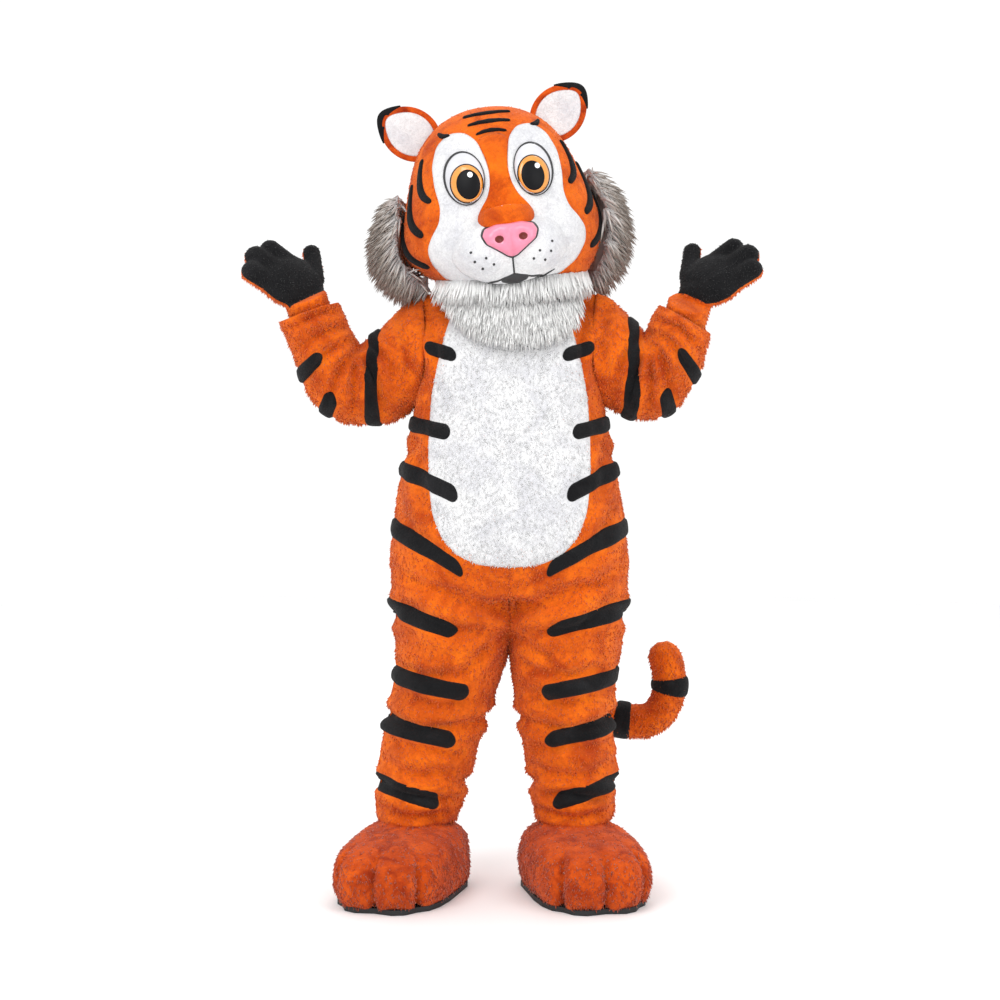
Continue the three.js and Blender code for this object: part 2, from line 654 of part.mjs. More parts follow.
function capsule(from, to, radius) {
  const along = to.clone().sub(from);
  const geometry = new THREE.CapsuleGeometry(radius, along.length(), 2, 6);
  const turn = new THREE.Quaternion().setFromUnitVectors(vec(0, 1, 0), along.clone().normalize());
  const middle = from.clone().add(to).multiplyScalar(0.5);
  return toSolid(geometry, new THREE.Matrix4().compose(middle, turn, vec(1, 1, 1)));
}

function glove(side) {
  const outwards = (place) => vec(side * place[0], place[1], place[2]);
  const palm = outwards(HANDS[side].palm);
  const wrist = outwards(HANDS[side].wrist);
  const along = vec(side * HAND_AXES.along.x, HAND_AXES.along.y, HAND_AXES.along.z).normalize();
  const facing = vec(side * HAND_AXES.facing.x, HAND_AXES.facing.y, HAND_AXES.facing.z).normalize();
  const across = facing.clone().cross(along).multiplyScalar(-side).normalize();
  facing.copy(along.clone().cross(across).multiplyScalar(-side)).normalize();
  if (facing.y > 0) facing.negate();
  const inHand = (a, b, n) => palm.clone()
    .addScaledVector(along, a).addScaledVector(across, b).addScaledVector(facing, n);
  const rings = SLEEVE[side];
  const ringCentre = (row) => outwards([
    (row.upper[0] + row.lower[0]) / 2, -row.forward, (row.upper[1] + row.lower[1]) / 2,
  ]);
  const forearm = ringCentre(rings.at(-1)).sub(ringCentre(rings.at(-2))).normalize();

  // The whole glove as a solid, smaller by `inset` all round and with the cuff longer by `open`.
  const body = (inset, open) => {
    const cuffLength = CUFF.length + open;
    const cuff = new THREE.CylinderGeometry(CUFF.wrist - inset, CUFF.mouth - inset, cuffLength, 10);
    const turn = new THREE.Quaternion().setFromUnitVectors(vec(0, 1, 0), forearm);
    const cuffMiddle = wrist.clone().addScaledVector(forearm, cuffLength / 2 - CUFF.below - open);
    const hand = new THREE.SphereGeometry(1, 9, 6);
    const basis = new THREE.Matrix4().makeBasis(along, across, facing);
    if (basis.determinant() < 0) basis.makeBasis(along, across.clone().negate(), facing);
    basis.scale(vec(76 - inset, 72 - inset, 38 - inset)).setPosition(inHand(-6, 0, 0));
    return joined([
      toSolid(cuff, new THREE.Matrix4().compose(cuffMiddle, turn, vec(1, 1, 1))),
      toSolid(hand, basis),
      ...FINGERS.map(({ base, tip, across: place, radius }) =>
        capsule(inHand(base, place, 0), inHand(tip, place, 0), radius - inset)),
      capsule(inHand(...THUMB.base), inHand(...THUMB.tip), THUMB.radius - inset),
      capsule(inHand(-62, 6, -8), inHand(-44, 30, -4), THUMB.root - inset),
    ]);
  };
  const shell = body(0, 0).subtract(body(GLOVE_WALL, 20));

  // The palm side: what lies in front of the middle of the hand, over a pointed heel.
  const plate = (grow) => {
    const geometry = new THREE.ExtrudeGeometry(PALM.outline, { depth: PALM.depth, bevelEnabled: false });
    const wider = 1 + grow / PALM.half;
    const place = new THREE.Matrix4().makeBasis(along, across, facing).setPosition(palm);
    return toSolid(geometry)
      .scale([wider, wider, 1])
      .translate([0, 0, PALM.start - grow])
      .transform(place.toArray());
  };
  return { palm: shell.intersect(plate(0)), back: shell.subtract(plate(SEAM)) };
}

// The largest piece of a cut solid, as a geometry.
function mainPiece(solid) {
  const pieces = solid.decompose();
  return toGeometry(pieces.reduce((best, piece) => (piece.volume() > best.volume() ? piece : best)));
}

for (const side of SIDES) {
  const { palm, back } = glove(side);
  addPiece(`glove_palm_${SIDE_NAME[side]}`, mainPiece(palm), 'black');
  addPiece(`glove_back_${SIDE_NAME[side]}`, mainPiece(back), 'orange');
}

// ---------------------------------------------------------------- boots
const BOOT = [
  { z: 12, front: 286, back: 112, half: 130, lobe: 0.05, square: 0.6 },
  { z: 40, front: 304, back: 120, half: 140, lobe: 0.07, square: 0.6 },
  { z: 88, front: 304, back: 120, half: 141, lobe: 0.08, square: 0.6 },
  { z: 122, front: 276, back: 114, half: 132, lobe: 0.07, square: 0.65 },
  { z: 141, front: 218, back: 106, half: 114, lobe: 0.03, square: 0.8 },
  { z: 150, front: 130, back: 94, half: 92, lobe: 0, square: 0.95 },
  { z: 158, front: 84, back: 82, half: 80, lobe: 0, square: 1 },
  { z: 205, front: 79, back: 79, half: 77, lobe: 0, square: 1 },
];
const BOOT_WALL = 10;
const SOLE = 11.7;
const TOES = 4;
const FEET = {
  [RIGHT]: { x: -225, turn: -17 },
  [LEFT]: { x: 154, turn: 13 },
};
const TOE_SPAN = 76; // degrees either side of straight ahead that the toes take up
const TOE_REST = 0.4; // share of the toes' wave that the rest of the boot keeps
const heelAngles = steps(TOE_SPAN, 360 - TOE_SPAN, 8).slice(1);
const bootAngles = [...steps(-TOE_SPAN, TOE_SPAN, TOES * 3), ...heelAngles];

function bootPoint(u, v) {
  const size = (name) => read(BOOT, u, (row) => row[name]);
  const angle = v * THREE.MathUtils.DEG2RAD;
  const ahead = Math.cos(angle) > 0;
  const toeTurn = (v + TOE_SPAN) / (2 * TOE_SPAN) * TOES * Math.PI;
  const toeWave = Math.abs(v) < TOE_SPAN ? Math.abs(Math.sin(toeTurn)) : TOE_REST;
  const swell = 1 + size('lobe') * (toeWave - TOE_REST);
  const reach = ahead ? size('front') : size('back');
  const width = size('half') * (ahead ? 1 : 0.96);
  return vec(
    width * rounded(Math.sin(angle), lerp(size('square'), 1, 0.3)) * swell,
    -reach * rounded(Math.cos(angle), ahead ? size('square') : 1) * swell,
    u,
  );
}

for (const side of SIDES) {
  const foot = new THREE.Group();
  foot.position.x = FEET[side].x;
  foot.rotation.z = FEET[side].turn * THREE.MathUtils.DEG2RAD;
  costume.add(foot);
  const surface = makeSurface(heights(BOOT), bootAngles, bootPoint, { wrap: true, outward: -1 });
  addPiece(`boot_${SIDE_NAME[side]}`, panel(surface, -BOOT_WALL, 0), 'deepOrange', foot);
  const tread = surface.points[0].slice(0, -1).map((p) => new THREE.Vector2(p.x * 1.012, p.y * 1.012));
  const sole = new THREE.ExtrudeGeometry(new THREE.Shape(tread), { depth: SOLE, bevelEnabled: false });
  sole.deleteAttribute('normal');
  sole.deleteAttribute('uv');
  addPiece(`sole_${SIDE_NAME[side]}`, BufferGeometryUtils.mergeVertices(sole, 1e-4), 'sole', foot);
}

// ---------------------------------------------------------------- head
const headSteps = [
  -180,
  ...HEAD_ANGLES.slice(1).reverse().map((angle) => -angle),
  ...HEAD_ANGLES,
  180,
];
const tilt = Math.tan(HEAD_ROLL * THREE.MathUtils.DEG2RAD);

// A point of the head at height u and an angle v in degrees from straight ahead.
function headPoint(u, v) {
  const angle = v * THREE.MathUtils.DEG2RAD;
  const ahead = Math.cos(angle);
  const half = read(HEAD, u, (row) => row.half);
  const depth = read(HEAD, u, (row) => (ahead > 0 ? row.front : row.back));
  const x = half * rounded(Math.sin(angle), 0.87);
  const y = -depth * rounded(ahead, 0.87);
  const rim = Math.max(0, 1 - u / 110) * (lerp(RIM.side, RIM.front, Math.max(0, ahead)) - tilt * x);
  return vec(x, y, u + rim);
}

const head = makeSurface(heights(HEAD), headSteps, headPoint, { wrap: true, outward: -1 });
head.normals[0] = head.normals[0].map((normal) => vec(normal.x, normal.y, 0).normalize());
addPiece('head_shell', panel(head, -HEAD_WALL, 0), 'orange', headGroup);

// The share of the way to an ellipse's edge, 0 at its centre and 1 on the edge.
const within = (u, v, centre, size) => Math.hypot((u - centre[0]) / size[0], (v - centre[1]) / size[1]);
const dome = (share) => Math.sqrt(Math.max(0, 1 - share * share));
const ellipseOutline = (centre, size, count = 10) => [...Array(count).keys()].map((k) => {
  const angle = 2 * Math.PI * (k + 0.5) / count;
  return [centre[0] + size[0] * Math.cos(angle), centre[1] + size[1] * Math.sin(angle)];
});

// The white face: cheeks with the chin, and a patch round each eye.
const cheek = [[6, 0], [6, 57], [60, 54], [108, 50], [145, 42], [165, 33], [165, 3], [165, 0]];
const eyePatch = [
  [165, 3], [165, 33], [235, 38], [290, 38], [338, 33], [366, 25], [368, 15], [345, 7], [300, 3],
];
const facePatches = [cheek, mirrored(cheek), eyePatch, mirrored(eyePatch)];
addPiece('face', layer(head, facePatches, SEAM, SEAM + TRIM), 'white', headGroup);
const onFace = 2 * SEAM + TRIM;

// The muzzle: two round lobes side by side over a small chin.
const MUZZLE = { lobe: [82, 15.5], size: [82, 19], height: 66, chin: 26 };
function muzzleRise(u, v) {
  const lobe = dome(within(u, Math.abs(v), MUZZLE.lobe, MUZZLE.size)) * MUZZLE.height;
  const chin = dome(within(u, v, [18, 0], [34, 24])) * MUZZLE.chin;
  const bridge = dome(within(u, v, [120, 0], [62, 22])) * 58;
  return onFace + Math.max(4, lobe, chin, bridge);
}
const muzzleOutline = ellipseOutline([84, 0], [76, 33], 16);
addPiece('muzzle', layer(head, [muzzleOutline], onFace, muzzleRise), 'white', headGroup);
const muzzle = lifted(head, muzzleRise);

const bridgeHalf = [
  [124, 0], [122, 9], [133, 16.5], [150, 15], [178, 9], [215, 5], [260, 4.5], [300, 6], [318, 0],
];
const bridgeOutline = [...bridgeHalf, ...mirrored(bridgeHalf).reverse().slice(1, -1)];
addPiece('nose_bridge', layer(muzzle, [bridgeOutline], SEAM, SEAM + TRIM), 'orange', headGroup);

const NOSE = { centre: [94, 0], size: [34, 13.5], height: 24 };
const noseHalf = [[121, 0], [121, 8], [112, 12.5], [98, 13], [78, 7], [64, 0]];
const noseOutline = [...noseHalf, ...mirrored(noseHalf).reverse().slice(1, -1)];
const noseRise = (u, v) => SEAM + 5 + dome(within(u, v, NOSE.centre, NOSE.size)) * NOSE.height;
addPiece('nose', layer(muzzle, [noseOutline], SEAM, noseRise), 'pink', headGroup);

const mouthOutline = [[34, 0], [24, 9], [14, 7], [9, 0], [14, -7], [24, -9]];
addPiece('mouth', layer(muzzle, [mouthOutline], SEAM, SEAM + TRIM), 'black', headGroup);

const EYE = { centre: [258, 19], size: [58, 12], edge: 4, height: 15, iris: [34, 8.4], low: 12, inward: 1 };
for (const side of SIDES) {
  const name = SIDE_NAME[side];
  const centre = [EYE.centre[0], side * EYE.centre[1]];
  const eyeRise = (u, v) => onFace + EYE.edge + dome(within(u, v, centre, EYE.size)) * EYE.height;
  const eyeOutline = ellipseOutline(centre, EYE.size, 14);
  addPiece(`eye_${name}`, layer(head, [eyeOutline], onFace, eyeRise), 'sclera', headGroup);
  const eye = lifted(head, eyeRise);
  const irisCentre = [centre[0] - EYE.low, side * (EYE.centre[1] - EYE.inward)];
  const iris = ellipseOutline(irisCentre, EYE.iris, 12);
  addPiece(`iris_${name}`, layer(eye, [iris], SEAM, SEAM + 2), 'amber', headGroup);
}

// Ears: a cupped plate that stands on the head, with a dark tip and a white lining. Shares along
// the ear run from inside the head (below 0) to its point (1), and across it from -1 to 1.
const EAR = { base: [146, 10, 372], axis: [0.77, 0.64], length: 124, half: 67, thick: 16, cup: 16 };
const EAR_ROWS = { root: -0.22, middle: [0.1, 0.3, 0.5, 0.64], tip: 0.76, high: 0.88, gap: 0.012 };
const EAR_LINING = [
  [0.3, -0.52], [0.3, 0.52], [0.5, 0.58], [0.64, 0.45], [0.7, 0.2], [0.7, -0.2], [0.64, -0.45], [0.5, -0.58],
];
const headSolid = toSolid(stuffedHead());
function stuffedHead() {
  const grown = lifted(head, SEAM);
  const rings = grown.points.slice(0, -1).map((row) => row.slice(0, -1));
  const count = rings[0].length;
  const points = rings.flat();
  const bottom = points.push(vec(0, 0, 0)) - 1;
  const top = points.push(grown.points.at(-1)[0]) - 1;
  const faces = [];
  for (let k = 0; k < count; k += 1) {
    const next = (k + 1) % count;
    faces.push([bottom, k, next]);
    for (let i = 0; i < rings.length - 1; i += 1) {
      const [low, high] = [i * count, (i + 1) * count];
      faces.push([low + k, high + k, high + next], [low + k, high + next, low + next]);
    }
    const last = (rings.length - 1) * count;
    faces.push([last + k, top, last + next]);
  }
  return closedGeometry(points, faces);
}

for (const side of SIDES) {
  const name = SIDE_NAME[side];
  const axis = vec(side * EAR.axis[0], 0, EAR.axis[1]).normalize();
  const across = vec(axis.z, 0, -axis.x).multiplyScalar(side);
  const base = vec(side * EAR.base[0], EAR.base[1], EAR.base[2]);
  const rows = [EAR_ROWS.root, ...EAR_ROWS.middle, EAR_ROWS.tip, EAR_ROWS.high, 1];
  const surface = makeSurface(rows, steps(-1, 1, 6), (t, s) => {
    const width = EAR.half * (t < 0 ? 1 : Math.sqrt(Math.max(0.03, 1 - t ** 2.6)));
    const point = base.clone().addScaledVector(axis, EAR.length * t).addScaledVector(across, width * s);
    point.y -= EAR.cup * (width * s / EAR.half) ** 2;
    return point;
  }, { outward: -side });
  const cut = (from, to) => {
    const outline = [[from, -1], [from, 1], [to, 1], [to, -1]];
    return toSolid(layer(surface, [outline], 0, EAR.thick));
  };
  const ear = cut(EAR_ROWS.root, EAR_ROWS.tip - EAR_ROWS.gap).subtract(headSolid);
  addPiece(`ear_${name}`, mainPiece(ear), 'deepOrange', headGroup);
  addPiece(`ear_tip_${name}`, mainPiece(cut(EAR_ROWS.tip, 1)), 'black', headGroup);
  const lining = layer(surface, [EAR_LINING], EAR.thick + SEAM, EAR.thick + SEAM + LINING);
  addPiece(`ear_lining_${name}`, lining, 'white', headGroup);
}

// Ruffs: the reach of the long fur behind each cheek.
const RUFF = { centre: [138, 97], size: [134, 27], edge: 8, height: 58, spread: [14, 5] };
for (const side of SIDES) {
  const centre = [RUFF.centre[0], side * RUFF.centre[1]];
  const reach = RUFF.size.map((half, k) => half + RUFF.spread[k]);
  const rise = (u, v) => SEAM + RUFF.edge + dome(within(u, v, centre, reach)) * RUFF.height;
  const outline = ellipseOutline(centre, RUFF.size, 14);
  addPiece(`ruff_${SIDE_NAME[side]}`, layer(head, [outline], SEAM, rise), 'grey', headGroup);
}

// The bib: the reach of the long white fur that hangs from the front rim over the chest.
const BIB = { thick: 12, start: 11, drop: 86, flare: 20, span: 62 };
const bib = makeSurface(steps(0, 1, 4), steps(-BIB.span, BIB.span, 10), (u, v) => {
  const rim = headPoint(0, v);
  const edge = Math.cos(v / BIB.span * Math.PI / 2) ** 0.7;
  const outwards = vec(rim.x, rim.y, 0).normalize();
  const reach = BIB.flare * Math.sin(u * Math.PI / 2) - HEAD_WALL;
  const point = rim.clone().addScaledVector(outwards, reach);
  point.z -= BIB.start + u * (14 + BIB.drop * edge);
  return point;
});
addPiece('bib', panel(bib, 0, BIB.thick), 'white', headGroup);

export default costume;
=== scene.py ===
"""Looks of a plush tiger mascot costume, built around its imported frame.

Metres, +Z up, the front faces -Y. The wearer's right side is at -X.
"""

import math

import bmesh
import bpy
import numpy as np
from mathutils import Matrix, Vector, noise
from mathutils.bvhtree import BVHTree
from mathutils.kdtree import KDTree


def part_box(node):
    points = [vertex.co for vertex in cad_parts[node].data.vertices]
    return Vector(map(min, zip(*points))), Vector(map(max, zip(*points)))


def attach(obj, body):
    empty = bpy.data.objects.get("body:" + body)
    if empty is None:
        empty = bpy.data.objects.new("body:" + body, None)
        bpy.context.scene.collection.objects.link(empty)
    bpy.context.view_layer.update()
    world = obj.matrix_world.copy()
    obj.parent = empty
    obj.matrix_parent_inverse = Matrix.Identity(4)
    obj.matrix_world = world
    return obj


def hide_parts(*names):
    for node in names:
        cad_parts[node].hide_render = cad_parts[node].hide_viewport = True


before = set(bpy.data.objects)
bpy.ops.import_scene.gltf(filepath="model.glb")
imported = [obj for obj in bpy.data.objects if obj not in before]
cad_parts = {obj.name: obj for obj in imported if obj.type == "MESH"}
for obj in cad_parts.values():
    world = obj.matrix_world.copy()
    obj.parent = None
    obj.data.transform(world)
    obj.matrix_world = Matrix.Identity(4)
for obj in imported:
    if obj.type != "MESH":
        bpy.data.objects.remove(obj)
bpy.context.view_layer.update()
BODY = "root"
SIDES = {"right": -1, "left": 1}
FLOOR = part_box("sole_left")[0].z
HEAD_BASE = 0.010  # height of the point that the head turns about
HEAD_ROLL = math.radians(-8.5)
HEAD_YAW = math.radians(4)
HEAD = (
    Matrix.Translation((0, 0, HEAD_BASE))
    @ Matrix.Rotation(HEAD_ROLL, 4, "Y")
    @ Matrix.Rotation(HEAD_YAW, 4, "Z")
)


# ---------------------------------------------------------------- materials
def new_material(name):
    material = bpy.data.materials.new(name)
    material.use_nodes = True
    nodes = material.node_tree.nodes
    links = material.node_tree.links
    return material, nodes, links, nodes["Principled BSDF"]


def ramp_node(nodes, stops):
    ramp = nodes.new("ShaderNodeValToRGB")
    elements = ramp.color_ramp.elements
    while len(elements) < len(stops):
        elements.new(0.5)
    for element, (place, colour) in zip(elements, stops):
        element.position = place
        element.color = (*colour, 1)
    return ramp


def noise_node(nodes, links, source, scale, detail=3, rough=0.55, distortion=0.0):
    node = nodes.new("ShaderNodeTexNoise")
    node.inputs["Scale"].default_value = scale
    node.inputs["Detail"].default_value = detail
    node.inputs["Roughness"].default_value = rough
    node.inputs["Distortion"].default_value = distortion
    links.new(source, node.inputs["Vector"])
    return node


def mix_colour(nodes, links, share, first, second, blend="MIX"):
    mix = nodes.new("ShaderNodeMix")
    mix.data_type = "RGBA"
    mix.blend_type = blend
    for socket, value in ((mix.inputs[0], share), (mix.inputs[6], first), (mix.inputs[7], second)):
        if isinstance(value, bpy.types.NodeSocket):
            links.new(value, socket)
        elif isinstance(value, (int, float)):
            socket.default_value = value
        else:
            socket.default_value = (*value, 1)
    return mix.outputs[2]


def plush(name, base, shade, light, pile=1.0, sheen=0.35, shade_patch_scale=14):
    """Short-pile plush: painted light and shade in large random areas, fine tufts and a soft sheen."""
    material, nodes, links, shader = new_material(name)
    place = nodes.new("ShaderNodeTexCoord").outputs["Object"]
    # Painted light and shade: random areas run from the painted shade colour through the base to the painted
    # light colour.
    light_and_shade_patches = noise_node(nodes, links, place, shade_patch_scale, 4, 0.6, 0.6)
    turned = ramp_node(nodes, [(0.33, shade), (0.55, base), (0.78, light)])
    links.new(light_and_shade_patches.outputs["Fac"], turned.inputs["Fac"])
    clumps = noise_node(nodes, links, place, 110, 3, 0.7, 1.2)
    clump_tone = ramp_node(nodes, [(0.30, (0.62, 0.62, 0.62)), (0.62, (1, 1, 1))])
    links.new(clumps.outputs["Fac"], clump_tone.inputs["Fac"])
    colour = mix_colour(
        nodes, links, 0.55, turned.outputs["Color"], clump_tone.outputs["Color"], "MULTIPLY"
    )
    hairs = noise_node(nodes, links, place, 620, 2, 0.7)
    hair_tone = ramp_node(nodes, [(0.30, (0.70, 0.70, 0.70)), (0.66, (1, 1, 1))])
    links.new(hairs.outputs["Fac"], hair_tone.inputs["Fac"])
    colour = mix_colour(nodes, links, 0.55, colour, hair_tone.outputs["Color"], "MULTIPLY")
    links.new(colour, shader.inputs["Base Color"])
    shader.inputs["Roughness"].default_value = 0.92
    shader.inputs["Specular IOR Level"].default_value = 0.18
    shader.inputs["Sheen Weight"].default_value = sheen
    shader.inputs["Sheen Roughness"].default_value = 0.45
    shader.inputs["Sheen Tint"].default_value = (*[min(1, 0.35 + 0.75 * c) for c in light], 1)
    coarse = nodes.new("ShaderNodeBump")
    coarse.inputs["Strength"].default_value = 0.7 * pile
    coarse.inputs["Distance"].default_value = 0.004
    links.new(clumps.outputs["Fac"], coarse.inputs["Height"])
    fine = nodes.new("ShaderNodeBump")
    fine.inputs["Strength"].default_value = 0.8 * pile
    fine.inputs["Distance"].default_value = 0.0016
    links.new(hairs.outputs["Fac"], fine.inputs["Height"])
    links.new(coarse.outputs["Normal"], fine.inputs["Normal"])
    links.new(fine.outputs["Normal"], shader.inputs["Normal"])
    return material


def tuft_material(name, root, middle, tip, sheen=0.3):
    """Fur in tufts, coloured from the root to the tip. The darker roots of the piles and of the white fur are
    painted shade among the tufts; the ruff's grey roots and brown tips are its own colour.
    """
    material, nodes, links, shader = new_material(name)
    place = nodes.new("ShaderNodeTexCoord").outputs["Object"]
    along = nodes.new("ShaderNodeAttribute")
    along.attribute_name = "along"
    tone = nodes.new("ShaderNodeAttribute")
    tone.attribute_name = "tone"
    # Root colour: painted shade among the tufts, except on the ruff, whose grey root is its own colour.
    colours = ramp_node(nodes, [(0.05, root), (0.5, middle), (0.95, tip)])
    links.new(along.outputs["Fac"], colours.inputs["Fac"])
    tones = ramp_node(nodes, [(0.0, (0.80, 0.80, 0.80)), (1.0, (1, 1, 1))])
    links.new(tone.outputs["Fac"], tones.inputs["Fac"])
    colour = mix_colour(nodes, links, 1.0, colours.outputs["Color"], tones.outputs["Color"], "MULTIPLY")
    strands = noise_node(nodes, links, place, 420, 2, 0.6)
    strand_tone = ramp_node(nodes, [(0.3, (0.75, 0.75, 0.75)), (0.65, (1, 1, 1))])
    links.new(strands.outputs["Fac"], strand_tone.inputs["Fac"])
    colour = mix_colour(nodes, links, 0.6, colour, strand_tone.outputs["Color"], "MULTIPLY")
    links.new(colour, shader.inputs["Base Color"])
    shader.inputs["Roughness"].default_value = 0.85
    shader.inputs["Specular IOR Level"].default_value = 0.25
    shader.inputs["Sheen Weight"].default_value = sheen
    return material


def moulded(name, colour, roughness, mottle, coat=0.0):
    """Hard or rubbery moulded stuff with a slightly uneven skin."""
    material, nodes, links, shader = new_material(name)
    place = nodes.new("ShaderNodeTexCoord").outputs["Object"]
    uneven = noise_node(nodes, links, place, mottle, 3)
    tones = ramp_node(nodes, [(0.3, tuple(0.86 * c for c in colour)), (0.7, colour)])
    links.new(uneven.outputs["Fac"], tones.inputs["Fac"])
    links.new(tones.outputs["Color"], shader.inputs["Base Color"])
    bump = nodes.new("ShaderNodeBump")
    bump.inputs["Strength"].default_value = 0.12
    bump.inputs["Distance"].default_value = 0.0006
    links.new(uneven.outputs["Fac"], bump.inputs["Height"])
    links.new(bump.outputs["Normal"], shader.inputs["Normal"])
    shader.inputs["Roughness"].default_value = roughness
    shader.inputs["Coat Weight"].default_value = coat
    shader.inputs["Coat Roughness"].default_value = 0.08
    return material


# Each plush: its base colour, then its painted shade colour and its painted light colour.
ORANGE = plush("plush_orange", (0.86, 0.145, 0.004), (0.52, 0.058, 0.002), (0.98, 0.205, 0.006), sheen=0.2)
DEEP_ORANGE = plush(
    "plush_deep_orange", (0.66, 0.082, 0.004), (0.36, 0.030, 0.002), (0.84, 0.13, 0.006), sheen=0.2,
    shade_patch_scale=26
)
WHITE = plush(
    "plush_white", (0.82, 0.82, 0.83), (0.70, 0.70, 0.73), (0.88, 0.88, 0.88), pile=0.7, sheen=0.1
)
BLACK = plush(
    "plush_black", (0.009, 0.009, 0.010), (0.004, 0.004, 0.005), (0.018, 0.018, 0.020), sheen=0.12
)
# Piles and fur: root, middle and tip colours; the darker roots are painted shade, except the ruff's grey.
ORANGE_PILE = tuft_material(
    "pile_orange", (0.56, 0.065, 0.002), (0.88, 0.145, 0.004), (1.0, 0.22, 0.01), 0.15
)
DEEP_PILE = tuft_material(
    "pile_deep_orange", (0.30, 0.025, 0.002), (0.56, 0.065, 0.004), (0.74, 0.12, 0.008)
)
WHITE_PILE = tuft_material("pile_white", (0.84, 0.84, 0.86), (0.92, 0.92, 0.92), (0.95, 0.95, 0.95), 0.1)
BLACK_PILE = tuft_material(
    "pile_black", (0.004, 0.004, 0.005), (0.010, 0.010, 0.011), (0.026, 0.026, 0.028), 0.1
)
GREY_FUR = tuft_material("fur_grey", (0.52, 0.50, 0.50), (0.62, 0.58, 0.55), (0.26, 0.19, 0.14), 0.2)
WHITE_FUR = tuft_material("fur_white", (0.84, 0.84, 0.84), (0.92, 0.92, 0.91), (0.95, 0.95, 0.94), 0.1)
PINK = moulded("nose_pink", (0.86, 0.24, 0.36), 0.32, 60, coat=0.5)
NOSTRIL = moulded("nostril_dark", (0.16, 0.012, 0.008), 0.5, 80)
DARK = moulded("mouth_black", (0.012, 0.012, 0.014), 0.35, 70, coat=0.2)
SCLERA = moulded("eye_white", (0.66, 0.66, 0.69), 0.25, 30, coat=0.6)
AMBER = moulded("iris_amber", (0.80, 0.30, 0.035), 0.22, 90, coat=0.8)
PUPIL = moulded("pupil_black", (0.004, 0.004, 0.005), 0.45, 40)
PUPIL.node_tree.nodes["Principled BSDF"].inputs["Specular IOR Level"].default_value = 0.15
GLINT = moulded("glint_white", (0.92, 0.92, 0.92), 0.25, 40)
SOLE = moulded("sole_black", (0.014, 0.014, 0.015), 0.7, 220)


# ---------------------------------------------------------------- meshes
def new_piece(name, points, faces, material, replaces=()):
    mesh = bpy.data.meshes.new(name)
    mesh.from_pydata(np.asarray(points).tolist(), [], faces)
    mesh.materials.append(material)
    mesh.polygons.foreach_set("use_smooth", np.ones(len(faces), bool))
    piece = bpy.data.objects.new(name, mesh)
    bpy.context.scene.collection.objects.link(piece)
    finish_piece(piece, replaces)
    return piece


def finish_piece(piece, replaces=()):
    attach(piece, BODY)
    if replaces:
        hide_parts(*replaces)


def apply_modifiers(piece):
    bpy.ops.object.select_all(action="DESELECT")
    bpy.context.view_layer.objects.active = piece
    piece.select_set(True)
    for modifier in list(piece.modifiers):
        bpy.ops.object.modifier_apply(modifier=modifier.name)


def outer_wall(node):
    """The outer wall of a hollow CAD piece, as an open grid of quads."""
    bm = bmesh.new()
    bm.from_mesh(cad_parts[node].data)
    bmesh.ops.remove_doubles(bm, verts=bm.verts, dist=2e-5)
    bm.normal_update()
    left = set(bm.faces)
    regions = []
    while left:
        region = {left.pop()}
        front = list(region)
        while front:
            face = front.pop()
            for edge in face.edges:
                if len(edge.link_faces) == 2 and edge.calc_face_angle(0) < math.radians(62):
                    for other in edge.link_faces:
                        if other in left:
                            left.discard(other)
                            region.add(other)
                            front.append(other)
        regions.append(region)
    regions.sort(key=lambda faces: -sum(f.calc_area() for f in faces))
    keep = regions[0]
    bmesh.ops.delete(bm, geom=[f for f in bm.faces if f not in keep], context="FACES")
    bmesh.ops.remove_doubles(bm, verts=bm.verts, dist=1.3e-3)
    bmesh.ops.join_triangles(
        bm, faces=bm.faces, angle_face_threshold=math.radians(60), angle_shape_threshold=math.radians(75)
    )
    mesh = bpy.data.meshes.new(node + "_wall")
    bm.to_mesh(mesh)
    bm.free()
    return mesh


def smooth_skin(node, levels):
    """A CAD piece's outer wall as fine smooth cloth: its points, faces and the way out at each."""
    piece = bpy.data.objects.new(node + "_skin", outer_wall(node))
    bpy.context.scene.collection.objects.link(piece)
    modifier = piece.modifiers.new("rounded", "SUBSURF")
    modifier.levels = modifier.render_levels = levels
    modifier.boundary_smooth = "PRESERVE_CORNERS"
    apply_modifiers(piece)
    mesh = piece.data
    points = np.empty(len(mesh.vertices) * 3)
    mesh.vertices.foreach_get("co", points)
    normals = np.empty(len(mesh.vertices) * 3)
    mesh.vertices.foreach_get("normal", normals)
    faces = [tuple(p.vertices) for p in mesh.polygons]
    bpy.data.objects.remove(piece)
    return {"node": node, "points": points.reshape(-1, 3), "out": normals.reshape(-1, 3), "faces": faces}


def agree_at_seams(skins, reach=0.003):
    """Gives the points on both sides of a seam the same way out."""
    points = np.vstack([s["points"] for s in skins])
    out = np.vstack([s["out"] for s in skins])
    edge_points = []
    start = 0
    for skin in skins:
        count = {}
        for face in skin["faces"]:
            for a, b in zip(face, face[1:] + face[:1]):
                key = (min(a, b), max(a, b))
                count[key] = count.get(key, 0) + 1
        border = {v for key, n in count.items() if n == 1 for v in key}
        edge_points += [start + v for v in border]
        start += len(skin["points"])
    tree = KDTree(len(edge_points))
    for k, v in enumerate(edge_points):
        tree.insert(points[v], k)
    tree.balance()
    agreed = out.copy()
    for v in edge_points:
        near = [edge_points[k] for _, k, _ in tree.find_range(points[v], reach)]
        mean = out[near].mean(0)
        agreed[v] = mean / max(1e-9, np.linalg.norm(mean))
    start = 0
    for skin in skins:
        skin["out"] = agreed[start : start + len(skin["points"])]
        start += len(skin["points"])


def ease(value, low, high):
    t = np.clip((value - low) / (high - low), 0, 1)
    return t * t * (3 - 2 * t)


